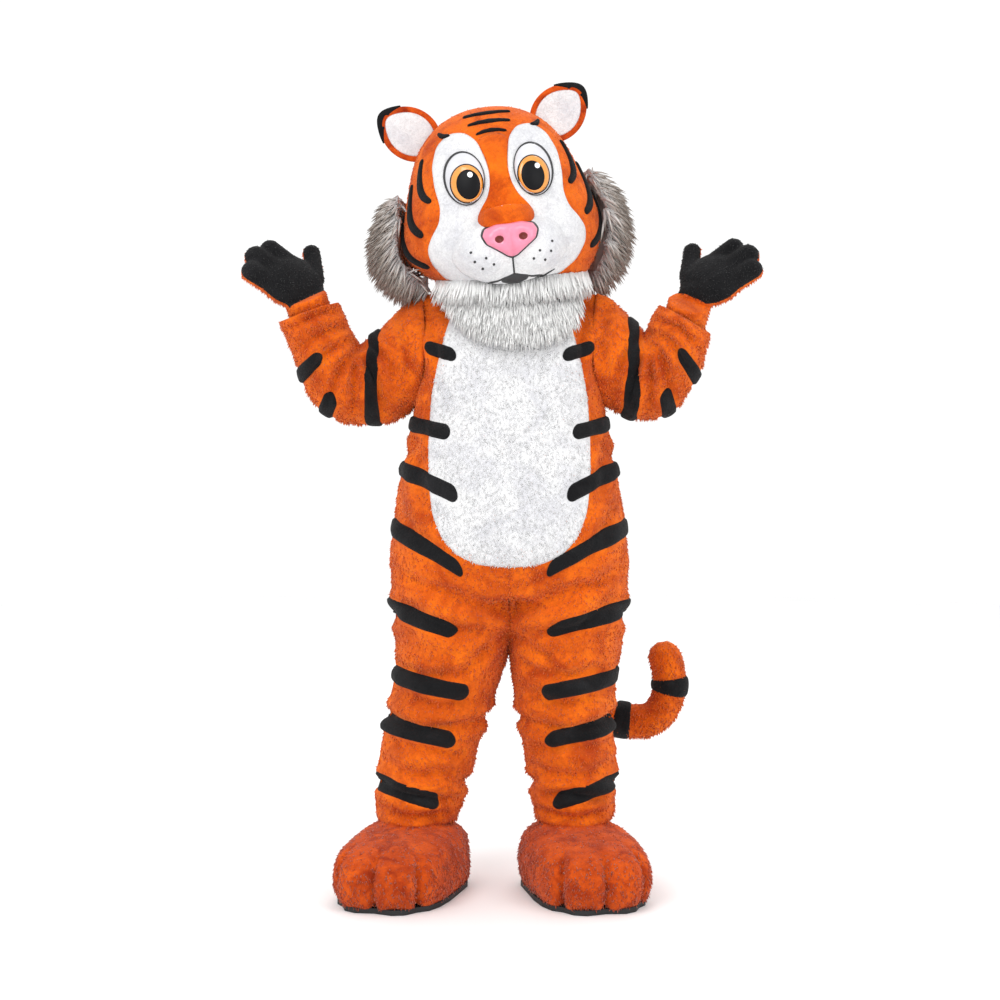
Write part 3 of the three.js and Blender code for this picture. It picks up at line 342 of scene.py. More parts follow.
def along_line(places, line):
    """Distance of each place from a bent line, and its share of the way along."""
    best = np.full(len(places), 1e9)
    share = np.zeros(len(places))
    for k in range(len(line) - 1):
        a, b = np.array(line[k], float), np.array(line[k + 1], float)
        run = b - a
        t = np.clip(((places - a) @ run) / (run @ run), 0, 1)
        distance = np.linalg.norm(places - a - t[:, None] * run, axis=1)
        nearer = distance < best
        best[nearer] = distance[nearer]
        share[nearer] = (k + t[nearer]) / (len(line) - 1)
    return best, share


VIEWS = {  # what a fold's line is drawn on: the two axes seen, the axis looked along and its sign
    "front": (0, 2, 1, -1),
    "back": (0, 2, 1, 1),
    "right": (1, 2, 0, -1),
    "left": (1, 2, 0, 1),
}


FOLD_DEPTH = 1.55


def fold_relief(points, out, folds):
    """How far each point moves out: soft troughs with a ridge beside them."""
    relief = np.zeros(len(points))
    for view, line, width, depth in folds:
        first, second, looked, sign = VIEWS[view]
        facing = ease(out[:, looked] * sign, -0.05, 0.4)
        distance, share = along_line(points[:, [first, second]], line)
        near = (distance < 4 * width) & (facing > 0)
        d, s = distance[near] / width, share[near]
        taper = np.sin(np.pi * np.clip(0.06 + 0.88 * s, 0, 1)) ** 0.6
        shape = -np.exp(-(d**2)) + 0.5 * np.exp(-(((d - 1.9) / 0.9) ** 2))
        relief[near] += FOLD_DEPTH * depth * taper * shape * facing[near]
    return relief


def unevenness(points, scale, seed):
    shift = Vector((seed * 7.3, seed * 3.1, seed * 5.7))
    return np.array([noise.noise(Vector(p) * scale + shift) for p in points])


def bvh_of(*skins):
    points, faces, start = [], [], 0
    for skin in skins:
        points += [Vector(p) for p in skin["points"]]
        faces += [tuple(v + start for v in face) for face in skin["faces"]]
        start += len(skin["points"])
    return BVHTree.FromPolygons(points, faces)


def hollow_piece(name, skin, wall, material, replaces):
    """A skin with its inner wall, closed round its edges."""
    piece = new_piece(name, skin["points"], skin["faces"], material, replaces)
    modifier = piece.modifiers.new("wall", "SOLIDIFY")
    modifier.thickness = wall
    modifier.offset = -1
    modifier.use_rim = True
    apply_modifiers(piece)
    return piece


black_trims = []


def blur(grid, wrap, turns=2):
    for _ in range(turns):
        for axis in (0, 1):
            if axis == 1 and wrap:
                before, after = np.roll(grid, 1, 1), np.roll(grid, -1, 1)
            else:
                pad = [(0, 0)] * 3
                pad[axis] = (1, 1)
                padded = np.pad(grid, pad, mode="edge")
                before = np.take(padded, range(grid.shape[axis]), axis)
                after = np.take(padded, range(2, grid.shape[axis] + 2), axis)
            grid = (before + 2 * grid + after) / 4
    return grid


def closed_grid(top, bottom, wrap=False):
    """Points and faces of a sheet from its upper and its lower grid, closed round its edges."""
    rows, columns = top.shape[:2]
    points = np.vstack([top.reshape(-1, 3), bottom.reshape(-1, 3)])
    under = rows * columns
    faces = []
    last = columns if wrap else columns - 1
    for i in range(rows - 1):
        for j in range(last):
            a, b = i * columns + j, i * columns + (j + 1) % columns
            c, d = b + columns, a + columns
            faces += [(a, b, c, d), (under + d, under + c, under + b, under + a)]
    for j in range(last):
        a, b = j, (j + 1) % columns
        faces.append((b, a, under + a, under + b))
        c, d = (rows - 1) * columns + a, (rows - 1) * columns + b
        faces.append((c, d, under + d, under + c))
    if not wrap:
        for i in range(rows - 1):
            a, b = i * columns, (i + 1) * columns
            faces.append((a, b, under + b, under + a))
            c, d = a + columns - 1, b + columns - 1
            faces.append((d, c, under + c, under + d))
    return points, faces


def outward(piece):
    """Merges doubles and turns a closed piece's faces outwards."""
    bm = bmesh.new()
    bm.from_mesh(piece.data)
    bmesh.ops.remove_doubles(bm, verts=bm.verts, dist=1e-5)
    bmesh.ops.dissolve_degenerate(bm, edges=bm.edges, dist=1e-6)
    bmesh.ops.recalc_face_normals(bm, faces=bm.faces)
    if bm.calc_volume(signed=True) < 0:
        bmesh.ops.reverse_faces(bm, faces=bm.faces)
    bm.to_mesh(piece.data)
    bm.free()


SUNK = 0.0012  # how far a sewn-on piece's underside lies in the pile below it


def strip(
    name, cast, path, width, height, material, slot, replaces=(), taper=0.0, rows=40, wave=0.0008,
    round_ends=(True, True)
):
    """A band of plush sewn on a skin. cast(a, b) gives the skin's point and normal at a place of
    its map, path(s) the middle line's place and the step across it for one metre."""
    across = np.linspace(-1, 1, 9)
    shares = (1 - np.cos(np.linspace(0, np.pi, rows))) / 2
    middle = np.array([cast(*path(s)[0])[0] for s in shares])
    steps = np.linalg.norm(np.diff(middle, axis=0), axis=1)
    run = np.concatenate([[0], np.cumsum(steps)])
    length = run[-1]
    half = width / 2
    top = np.zeros((rows, len(across), 3))
    normal = np.zeros_like(top)
    lift = np.zeros((rows, len(across), 1))
    for i, s in enumerate(shares):
        ends = []
        if round_ends[0]:
            ends.append(run[i])
        if round_ends[1]:
            ends.append(length - run[i])
        q = min(1.0, min(ends + [half]) / half)
        rounded = max(0.06, math.sqrt(max(0.0, 2 * q - q * q)))
        size = half * rounded * (1 - taper * abs(2 * s - 1) ** 1.5 * (1 if taper < 1 else 0.9))
        size += wave * noise.noise(Vector((s * 9, len(name), 3.3)))
        place, step = path(s)
        for j, t in enumerate(across):
            point, way = cast(place[0] + step[0] * t * size, place[1] + step[1] * t * size)
            top[i, j], normal[i, j] = point, way
            lift[i, j] = height * max(0.0, 1 - abs(t) ** 3.2) ** 0.5 * (0.25 + 0.75 * rounded)
    normal = blur(normal, False)
    normal /= np.linalg.norm(normal, axis=2, keepdims=True)
    points, faces = closed_grid(top + normal * lift, top - normal * SUNK)
    piece = new_piece(name, points, faces, material, replaces)
    outward(piece)
    if material is BLACK:
        black_trims.append(piece)
    return piece


def disc(
    name, cast, outline, centre, rise, material, replaces=(), rings=10, turns=64, along=None,
    sunk=SUNK, spread=1.0
):
    """A patch sewn or set on a skin: rings of points from a centre to a closed outline.
    rise(a, b, q) is its height at a place, q being 0 at the centre and 1 on the outline."""
    outline = np.array(outline, float)
    closed = np.vstack([outline, outline[:1]])
    lengths = np.concatenate([[0], np.cumsum(np.linalg.norm(np.diff(closed, axis=0), axis=1))])
    marks = np.linspace(0, lengths[-1], turns, endpoint=False)
    rim = np.column_stack([np.interp(marks, lengths, closed[:, k]) for k in (0, 1)])
    for _ in range(2):
        rim = (np.roll(rim, 1, 0) + 2 * rim + np.roll(rim, -1, 0)) / 4
    shares = np.linspace(0.02, 1, rings) ** spread
    centre = np.array(centre, float)
    top = np.zeros((rings, turns, 3))
    normal = np.zeros_like(top)
    lift = np.zeros((rings, turns, 1))
    for i, q in enumerate(shares):
        for j in range(turns):
            place = centre + (rim[j] - centre) * q
            top[i, j], way = cast(*place)
            normal[i, j] = along if along is not None else way
            lift[i, j] = rise(place[0], place[1], q)
    if along is None:
        normal = blur(normal, True)
    normal /= np.linalg.norm(normal, axis=2, keepdims=True)
    points, faces = closed_grid(top + normal * lift, top - normal * sunk, wrap=True)
    middle = tuple(range(turns))
    under = rings * turns
    faces = [f for f in faces if not set(f) <= {*middle, *(under + m for m in middle)}]
    faces += [middle, tuple(under + m for m in reversed(middle))]
    piece = new_piece(name, points, faces, material, replaces)
    outward(piece)
    return piece


def ellipse(centre, size, count=48):
    return [
        (centre[0] + size[0] * math.cos(a), centre[1] + size[1] * math.sin(a))
        for a in np.linspace(0, 2 * np.pi, count, endpoint=False)
    ]


def tufts(name, roots, ways, lengths, widths, material, seed, droop=0.25, segments=2):
    """Many little pointed tufts as one mesh. Each is a three-sided spike, closed at its root."""
    rng = np.random.default_rng(seed)
    count = len(roots)
    ways = ways / np.linalg.norm(ways, axis=1, keepdims=True)
    helper = np.where(np.abs(ways[:, 2:3]) < 0.9, [[0, 0, 1.0]], [[1.0, 0, 0]])
    first = np.cross(ways, helper)
    first /= np.linalg.norm(first, axis=1, keepdims=True)
    second = np.cross(ways, first)
    spin = rng.uniform(0, 2 * np.pi, count)
    rings = []
    for k in range(segments):
        share = k / segments
        middle = roots + ways * (lengths * share)[:, None]
        middle[:, 2] -= droop * lengths * share**2
        size = widths * (1 - 0.75 * share)
        for corner in range(3):
            angle = spin + corner * 2 * np.pi / 3
            rings.append(
                middle + first * (size * np.cos(angle))[:, None] + second * (size * np.sin(angle))[:, None]
            )
    tip = roots + ways * lengths[:, None]
    tip[:, 2] -= droop * lengths
    rings.append(tip)
    per = 3 * segments + 1
    points = np.stack(rings, 1).reshape(-1, 3)
    one = [(2, 1, 0)]
    for k in range(segments - 1):
        for corner in range(3):
            a, b = 3 * k + corner, 3 * k + (corner + 1) % 3
            one.append((a, b, b + 3, a + 3))
    top = 3 * (segments - 1)
    one += [(top + c, top + (c + 1) % 3, per - 1) for c in range(3)]
    faces = [tuple(v + n * per for v in face) for n in range(count) for face in one]
    piece = new_piece(name, points, faces, material)
    along = np.tile(np.array([k / segments for k in range(segments) for _ in range(3)] + [1.0]), count)
    tone = np.repeat(rng.uniform(0, 1, count), per)
    for attribute, values in (("along", along), ("tone", tone)):
        layer = piece.data.attributes.new(attribute, "FLOAT", "POINT")
        layer.data.foreach_set("value", values.astype(np.float32))
    return piece


def scatter(piece, count, seed, keep=None):
    """Points spread evenly over a piece's faces, with their normals."""
    mesh = piece.data
    mesh.calc_loop_triangles()
    corners = np.empty(len(mesh.loop_triangles) * 3, int)
    mesh.loop_triangles.foreach_get("vertices", corners)
    places = np.empty(len(mesh.vertices) * 3)
    mesh.vertices.foreach_get("co", places)
    tri = places.reshape(-1, 3)[corners.reshape(-1, 3)]
    normal = np.cross(tri[:, 1] - tri[:, 0], tri[:, 2] - tri[:, 0])
    area = np.linalg.norm(normal, axis=1)
    normal = normal / np.maximum(area, 1e-12)[:, None]
    weight = area * (keep(tri.mean(1), normal) if keep else 1)
    rng = np.random.default_rng(seed)
    chosen = rng.choice(len(tri), count, p=weight / weight.sum())
    a, b = rng.random(count), rng.random(count)
    over = a + b > 1
    a[over], b[over] = 1 - a[over], 1 - b[over]
    t = tri[chosen]
    points = t[:, 0] + a[:, None] * (t[:, 1] - t[:, 0]) + b[:, None] * (t[:, 2] - t[:, 0])
    return points, normal[chosen]


TRIM_CLEARANCE = 0.0085  # the pile of a ground keeps this far from black trims


def nap(name, piece, count, length, material, seed, lean=(0, 0, -1), keep=None, trims=None):
    """The pile of a plush piece: short tufts that lean the way the nap runs."""
    rng = np.random.default_rng(seed)
    roots, normals = scatter(piece, count, seed, keep)
    if material is not BLACK_PILE and trims is not None:
        clear = np.array(
            [trims.find_nearest(Vector(p + n * 0.004), TRIM_CLEARANCE)[0] is None for p, n in zip(roots, normals)]
        )
        roots, normals = roots[clear], normals[clear]
        count = len(roots)
    turn = np.array([noise.noise(Vector(p) * 16 + Vector((seed, 0, 0))) for p in roots])
    ways = normals * 0.75 + np.array(lean) * 0.85 + rng.normal(0, 0.28, (count, 3))
    ways += np.cross(normals, np.array([[0, 0, 1.0]])) * turn[:, None] * 0.9
    lengths = length * rng.uniform(0.65, 1.2, count)
    return tufts(
        name, roots - normals * 0.0006, ways, lengths, lengths * 0.26, material, seed, 0.1, 1
    )


# ---------------------------------------------------------------- cloth skins
CLOTH = 0.002
SUIT = ["suit_front_right", "suit_front_left", "suit_back_right", "suit_back_left"]
SLEEVES = ["sleeve_right", "sleeve_left"]

# Folds: the side they show on, their line there, half width and depth.
FOLDS = [
    # under the belly, across the hips and into the crotch
    ("front", [(-0.17, -0.700), (-0.05, -0.742), (0.06, -0.738), (0.17, -0.690)], 0.020, 0.011),
    ("front", [(-0.24, -0.742), (-0.15, -0.785), (-0.05, -0.800)], 0.016, 0.008),
    ("front", [(0.24, -0.735), (0.16, -0.782), (0.05, -0.803)], 0.016, 0.008),
    ("front", [(-0.02, -0.815), (-0.07, -0.850), (-0.12, -0.905)], 0.012, 0.008),
    ("front", [(0.02, -0.815), (0.08, -0.852), (0.13, -0.900)], 0.012, 0.008),
    ("front", [(-0.26, -0.655), (-0.20, -0.690), (-0.13, -0.700)], 0.014, 0.006),
    ("front", [(0.26, -0.650), (0.20, -0.684), (0.14, -0.694)], 0.014, 0.006),
    # sides of the trunk
    ("front", [(-0.24, -0.34), (-0.21, -0.40), (-0.20, -0.47)], 0.014, 0.005),
    ("front", [(0.24, -0.33), (0.22, -0.41), (0.21, -0.49)], 0.014, 0.005),
    ("front", [(-0.26, -0.50), (-0.23, -0.56), (-0.17, -0.61)], 0.016, 0.006),
    ("front", [(0.26, -0.49), (0.23, -0.55), (0.18, -0.62)], 0.016, 0.006),
    # from the shoulders
    ("front", [(-0.20, -0.04), (-0.17, -0.12), (-0.17, -0.22)], 0.014, 0.007),
    ("front", [(-0.23, -0.08), (-0.20, -0.17), (-0.19, -0.27)], 0.012, 0.006),
    ("front", [(0.18, -0.03), (0.17, -0.11), (0.18, -0.20)], 0.014, 0.007),
    ("front", [(0.22, -0.07), (0.20, -0.17), (0.20, -0.26)], 0.012, 0.006),
    # legs, bunched at the knees and above the hems
    ("front", [(-0.28, -0.880), (-0.20, -0.905), (-0.10, -0.890)], 0.014, 0.007),
    ("front", [(-0.27, -0.945), (-0.17, -0.975), (-0.09, -0.960)], 0.013, 0.007),
    ("front", [(-0.29, -1.005), (-0.20, -1.035), (-0.09, -1.015)], 0.015, 0.009),
    ("front", [(-0.28, -1.060), (-0.19, -1.075), (-0.12, -1.100)], 0.012, 0.007),
    ("front", [(-0.30, -1.115), (-0.22, -1.140), (-0.12, -1.125)], 0.014, 0.009),
    ("front", [(-0.31, -1.170), (-0.22, -1.185), (-0.13, -1.205)], 0.012, 0.008),
    ("front", [(-0.31, -1.225), (-0.23, -1.240), (-0.14, -1.228)], 0.010, 0.007),
    ("front", [(0.03, -0.875), (0.12, -0.905), (0.22, -0.885)], 0.014, 0.007),
    ("front", [(0.04, -0.950), (0.13, -0.970), (0.22, -0.945)], 0.013, 0.007),
    ("front", [(0.05, -1.010), (0.14, -1.038), (0.24, -1.010)], 0.015, 0.009),
    ("front", [(0.06, -1.085), (0.14, -1.065), (0.23, -1.080)], 0.012, 0.007),
    ("front", [(0.06, -1.128), (0.15, -1.145), (0.25, -1.118)], 0.014, 0.009),
    ("front", [(0.06, -1.190), (0.15, -1.180), (0.24, -1.200)], 0.012, 0.008),
    ("front", [(0.07, -1.228), (0.15, -1.242), (0.25, -1.224)], 0.010, 0.007),
    # back of the trunk and legs
    ("back", [(-0.19, -0.05), (-0.13, -0.16), (-0.03, -0.22)], 0.020, 0.008),
    ("back", [(0.19, -0.05), (0.14, -0.15), (0.04, -0.24)], 0.020, 0.008),
    ("back", [(-0.22, -0.12), (-0.17, -0.24), (-0.15, -0.34)], 0.016, 0.006),
    ("back", [(0.22, -0.13), (0.18, -0.25), (0.14, -0.36)], 0.016, 0.006),
    ("back", [(-0.24, -0.52), (-0.10, -0.575), (0.06, -0.560)], 0.022, 0.008),
    ("back", [(0.24, -0.60), (0.12, -0.655), (0.00, -0.640)], 0.022, 0.008),
    ("back", [(-0.23, -0.735), (-0.12, -0.790), (-0.02, -0.800)], 0.018, 0.010),
    ("back", [(0.23, -0.735), (0.13, -0.795), (0.02, -0.805)], 0.018, 0.010),
    ("back", [(-0.27, -0.90), (-0.17, -0.93), (-0.06, -0.91)], 0.015, 0.007),
    ("back", [(-0.28, -1.00), (-0.19, -1.03), (-0.09, -1.01)], 0.015, 0.009),
    ("back", [(-0.30, -1.10), (-0.21, -1.12), (-0.12, -1.10)], 0.013, 0.008),
    ("back", [(-0.31, -1.19), (-0.22, -1.21), (-0.14, -1.19)], 0.012, 0.008),
    ("back", [(0.03, -0.91), (0.13, -0.94), (0.24, -0.91)], 0.015, 0.007),
    ("back", [(0.05, -1.01), (0.15, -1.04), (0.24, -1.01)], 0.015, 0.009),
    ("back", [(0.06, -1.11), (0.15, -1.13), (0.25, -1.10)], 0.013, 0.008),
    ("back", [(0.07, -1.20), (0.15, -1.22), (0.25, -1.19)], 0.012, 0.008),
    # flanks
    ("right", [(-0.10, -0.34), (0.00, -0.39), (0.10, -0.37)], 0.016, 0.006),
    ("left", [(-0.10, -0.35), (0.00, -0.40), (0.10, -0.36)], 0.016, 0.006),
    ("right", [(-0.12, -0.74), (0.00, -0.77), (0.12, -0.75)], 0.018, 0.007),
    ("left", [(-0.12, -0.73), (0.00, -0.77), (0.12, -0.74)], 0.018, 0.007),
    ("right", [(-0.09, -1.03), (0.00, -1.01), (0.09, -1.04)], 0.014, 0.008),
    ("left", [(-0.09, -1.03), (0.00, -1.01), (0.09, -1.04)], 0.014, 0.008),
    ("right", [(-0.08, -1.15), (0.00, -1.17), (0.08, -1.15)], 0.013, 0.008),
    ("left", [(-0.08, -1.15), (0.00, -1.17), (0.08, -1.15)], 0.013, 0.008),
]
SLEEVE_FOLDS = [
    # the wearer's right arm: out from the inner elbow, then round the forearm
    ("front", [(-0.350, -0.120), (-0.300, -0.150), (-0.260, -0.220)], 0.011, 0.008),
    ("front", [(-0.355, -0.130), (-0.325, -0.190), (-0.300, -0.280)], 0.011, 0.009),
    ("front", [(-0.362, -0.130), (-0.365, -0.200), (-0.370, -0.300)], 0.010, 0.008),
    ("front", [(-0.368, -0.125), (-0.400, -0.185), (-0.425, -0.265)], 0.010, 0.008),
    ("front", [(-0.372, -0.112), (-0.425, -0.140), (-0.470, -0.200)], 0.010, 0.008),
    ("front", [(-0.385, -0.080), (-0.430, -0.095), (-0.495, -0.140)], 0.010, 0.008),
    ("front", [(-0.400, -0.045), (-0.450, -0.055), (-0.515, -0.095)], 0.009, 0.008),
    ("front", [(-0.250, -0.060), (-0.235, -0.130), (-0.245, -0.200)], 0.012, 0.007),
    ("front", [(-0.290, -0.090), (-0.270, -0.140), (-0.275, -0.200)], 0.010, 0.006),
    ("back", [(-0.250, -0.070), (-0.300, -0.170), (-0.330, -0.270)], 0.014, 0.008),
    ("back", [(-0.340, -0.120), (-0.390, -0.190), (-0.420, -0.270)], 0.012, 0.008),
    ("back", [(-0.380, -0.090), (-0.440, -0.150), (-0.480, -0.200)], 0.012, 0.008),
    ("back", [(-0.395, -0.050), (-0.450, -0.080), (-0.510, -0.130)], 0.010, 0.008),
    # the wearer's left arm
    ("front", [(0.322, -0.095), (0.285, -0.140), (0.250, -0.200)], 0.011, 0.008),
    ("front", [(0.328, -0.100), (0.300, -0.180), (0.285, -0.270)], 0.011, 0.009),
    ("front", [(0.333, -0.100), (0.335, -0.185), (0.330, -0.290)], 0.010, 0.008),
    ("front", [(0.338, -0.096), (0.365, -0.165), (0.380, -0.260)], 0.010, 0.008),
    ("front", [(0.342, -0.088), (0.385, -0.125), (0.425, -0.200)], 0.010, 0.008),
    ("front", [(0.350, -0.065), (0.395, -0.085), (0.445, -0.140)], 0.009, 0.008),
    ("front", [(0.358, -0.040), (0.400, -0.055), (0.455, -0.090)], 0.009, 0.007),
    ("front", [(0.230, -0.050), (0.215, -0.120), (0.225, -0.190)], 0.012, 0.007),
    ("back", [(0.240, -0.060), (0.280, -0.160), (0.310, -0.260)], 0.014, 0.008),
    ("back", [(0.320, -0.100), (0.360, -0.180), (0.385, -0.260)], 0.012, 0.008),
    ("back", [(0.345, -0.080), (0.400, -0.140), (0.435, -0.200)], 0.012, 0.008),
    ("back", [(0.355, -0.050), (0.405, -0.080), (0.455, -0.120)], 0.010, 0.007),
]

skins = {name: smooth_skin(name, 3) for name in SUIT}
skins.update({name: smooth_skin(name, 3) for name in SLEEVES})
skins["head_shell"] = smooth_skin("head_shell", 2)
skins.update({f"boot_{side}": smooth_skin(f"boot_{side}", 3) for side in SIDES})
agree_at_seams([skins[name] for name in SUIT])

for name in SUIT + SLEEVES:
    skin = skins[name]
    points, out = skin["points"], skin["out"]
    relief = fold_relief(points, out, FOLDS if name in SUIT else SLEEVE_FOLDS)
    low = ease(points[:, 2], -0.35, -0.85)
    wobble = unevenness(points, 13, 1) * 0.0035 + unevenness(points, 34, 2) * 0.0016
    if name in SLEEVES:
        wobble *= 1.6
        relief += 0.004
    skin["points"] = points + out * (relief + 0.003 + wobble * (1 + 0.5 * low))[:, None]
skins["head_shell"]["points"] += skins["head_shell"]["out"] * (
    unevenness(skins["head_shell"]["points"], 12, 5) * 0.0015
)[:, None]

# Toes: grooves that run back from the sole and fade on the instep.
TOE_GROOVES = (-20.6, 0, 20.6)  # degrees from straight ahead
FEET = {"right": ((-0.225, 0), -17), "left": ((0.154, 0), 13)}
for side, ((foot_x, foot_y), turn) in FEET.items():
    skin = skins[f"boot_{side}"]
    turned = math.radians(turn)
    local = skin["points"] - np.array([foot_x, foot_y, FLOOR])
    ahead = local[:, 0] * math.sin(turned) - local[:, 1] * math.cos(turned)
    beside = local[:, 0] * math.cos(turned) + local[:, 1] * math.sin(turned)
    height = local[:, 2]
    relief = unevenness(skin["points"], 16, 7) * 0.004
    for angle in TOE_GROOVES:
        a = math.radians(angle)
        off = np.abs(beside * math.cos(a) - ahead * math.sin(a))
        front = ease(ahead, 0.10, 0.20) * (1 - ease(height, 0.10, 0.145))
        relief += front * (
            -0.013 * np.exp(-((off / 0.006) ** 2)) + 0.004 * np.exp(-(((off - 0.022) / 0.014) ** 2))
        )
    neck = ease(height, 0.150, 0.165)
    skin["points"] = skin["points"] + skin["out"] * (relief * (1 - neck))[:, None]

# The cloth pieces: each skin made hollow with its inner wall, and the soles' material.
for name in SUIT:
    piece = hollow_piece(name + "_cloth", skins[name], CLOTH, ORANGE, [name])
    skins[name]["piece"] = piece
for name in SLEEVES:
    piece = hollow_piece(name + "_cloth", skins[name], CLOTH, ORANGE, [name])
    skins[name]["piece"] = piece
head_piece = hollow_piece(
    "head_shell_plush", skins["head_shell"], 0.010, ORANGE, ["head_shell"]
)
for side in SIDES:
    boot = hollow_piece(
        f"boot_{side}_plush", skins[f"boot_{side}"], 0.009, DEEP_ORANGE, [f"boot_{side}"]
    )
    skins[f"boot_{side}"]["piece"] = boot
    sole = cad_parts[f"sole_{side}"]
    sole.data.materials.clear()
    sole.data.materials.append(SOLE)

suit_bvh = bvh_of(*[skins[name] for name in SUIT])
front_bvh = bvh_of(skins["suit_front_right"], skins["suit_front_left"])


# ---------------------------------------------------------------- belly and bars
SEAM_STEPS = [
    Vector(step) for step in (
        (0, 0, 0), (0.0015, 0, 0), (-0.0015, 0, 0), (0, 0.0015, 0), (0, -0.003, 0), (0.004, 0.004, 0),
        (-0.004, 0.004, 0)
    )
]


def cast_on(bvh, origin, direction, reach=0.4):
    for shift in SEAM_STEPS:  # past a seam that the ray would slip through
        hit, normal, _, _ = bvh.ray_cast(origin + shift, direction)
        if hit is not None and normal.dot(direction) < 0:
            return hit, normal
    hit, normal, _, _ = bvh.find_nearest(origin + direction * reach)
    if normal.dot(direction) > 0:
        normal = -normal
    return hit, normal


def cast_front(x, z):
    return cast_on(front_bvh, Vector((x, -1, z)), Vector((0, 1, 0)), 0.88)


BELLY_EDGE = [  # height and half width, from the chest down
    (-0.030, 0.128), (-0.090, 0.148), (-0.170, 0.168), (-0.250, 0.183), (-0.340, 0.189), (-0.440, 0.189),
    (-0.520, 0.180), (-0.575, 0.158), (-0.615, 0.120), (-0.636, 0.070), (-0.642, 0.0),
]
belly_outline = [(-w, z) for z, w in BELLY_EDGE] + [(w, z) for z, w in reversed(BELLY_EDGE[:-1])]
belly = disc(
    "belly_plush", cast_front, belly_outline, (0, -0.33),
    lambda x, z, q: 0.0045 * max(0.0, 1 - q**14) ** 0.5 + 0.0006,
    WHITE, ["belly"], rings=34, turns=150, spread=0.8,
)
belly_skin = {
    "points": np.array([v.co[:] for v in belly.data.vertices]),
    "faces": [tuple(p.vertices) for p in belly.data.polygons],
}
suit_bvh = bvh_of(*[skins[name] for name in SUIT], belly_skin)
front_bvh = bvh_of(skins["suit_front_right"], skins["suit_front_left"], belly_skin)

# Bars on the trunk: how far from the centre line the front tip lies on each side, its height, the
# height on the side seam, the tip behind and its height, and the width of the bar.
BARS = [
    {
        "name": "bar_2", "tips": (0.138, 0.147), "front": -0.332, "seam": -0.312, "back": -0.338,
        "far": 0.150, "width": 0.037
    },
    {
        "name": "bar_3", "tips": (0.120, 0.133), "front": -0.478, "seam": -0.420, "back": -0.468,
        "far": 0.140, "width": 0.041
    },
    {
        "name": "bar_4", "tips": (0.108, 0.086), "front": -0.652, "seam": -0.558, "back": -0.634,
        "far": 0.120, "width": 0.041
    },
    {
        "name": "bar_5", "tips": (0.120, 0.088), "front": -0.792, "seam": -0.748, "back": -0.790,
        "far": 0.128, "width": 0.041
    },
]
LEG_BARS = [
    {"name": "bar_6", "front": -0.945, "seam": -0.912, "back": -0.952, "width": 0.041},
    {"name": "bar_7", "front": -1.058, "seam": -1.026, "back": -1.062, "width": 0.040},
    {"name": "bar_8", "front": -1.205, "seam": -1.165, "back": -1.208, "width": 0.041},
]
LEG_MIDDLES = {  # the middle of each leg at a height
    "right": [(-0.855, -0.134), (-1.025, -0.175), (-1.26, -0.223)],
    "left": [(-0.855, 0.132), (-1.025, 0.136), (-1.26, 0.154)],
}
FRONT_TURN, BACK_TURN = -28, 212  # degrees from straight ahead where a leg bar ends


def leg_middle(side, z):
    rows = sorted(LEG_MIDDLES[side])
    return float(np.interp(z, [r[0] for r in rows], [r[1] for r in rows]))


def turn_of(side, x, z, behind):
    """The direction, in degrees from straight ahead, in which a place of the trunk lies."""
    sign = SIDES[side]
    origin = Vector((sign * x, 1 if behind else -1, z))
    hit, _ = cast_on(suit_bvh, origin, Vector((0, -1 if behind else 1, 0)))
    return math.degrees(math.atan2(abs(hit.x), -hit.y))


def round_cast(side, reach, middle):
    sign = SIDES[side]

    def cast(turn, z):
        a = math.radians(turn)
        way = Vector((sign * math.sin(a), -math.cos(a), 0))
        return cast_on(suit_bvh, Vector((middle(z), 0, z)) + way * reach, -way, reach * 0.4)

    return cast


def bar_path(turns, heights):
    """From the front tip by the side seam (90 degrees) to the tip behind."""

    def path(s):
        turn = turns[0] + (turns[1] - turns[0]) * s
        if turn <= 90:
            q = (turn - turns[0]) / (90 - turns[0])
            z = heights[0] + (heights[1] - heights[0]) * math.sin(q * math.pi / 2) ** 0.9
        else:
            q = (turns[1] - turn) / (turns[1] - 90)
            z = heights[2] + (heights[1] - heights[2]) * math.sin(q * math.pi / 2) ** 0.9
        return (turn, z), (0, 1)

    return path


for side in SIDES:
    for k, bar in enumerate(BARS):
        tip = bar["tips"][0 if side == "right" else 1]
        turns = (turn_of(side, tip, bar["front"], False), turn_of(side, bar["far"], bar["back"], True))
        strip(
            f"{bar['name']}_{side}_plush", round_cast(side, 0.8, lambda z: 0.0),
            bar_path(turns, (bar["front"], bar["seam"], bar["back"])), bar["width"], 0.0075,
            BLACK, "plush_black", [f"{bar['name']}_{side}"], rows=64,
        )
    for bar in LEG_BARS:
        strip(
            f"{bar['name']}_{side}_plush", round_cast(side, 0.21, lambda z, side=side: leg_middle(side, z)),
            bar_path(
                (FRONT_TURN, BACK_TURN), (bar["front"], bar["seam"], bar["back"])
            ), bar["width"], 0.007,
            BLACK, "plush_black", [f"{bar['name']}_{side}"], rows=64,
        )
    sign = SIDES[side]
    inner, outer = (0.124, -0.152), (0.198, -0.130)
    strip(
        f"bar_1_{side}_plush", cast_front,
        lambda s, sign=sign: (
            (sign * (inner[0] + (outer[0] - inner[0]) * s), inner[1] + (outer[1] - inner[1]) * s), (0, 1)
        ),
        0.034, 0.0075, BLACK, "plush_black", [f"bar_1_{side}"], rows=24,
    )

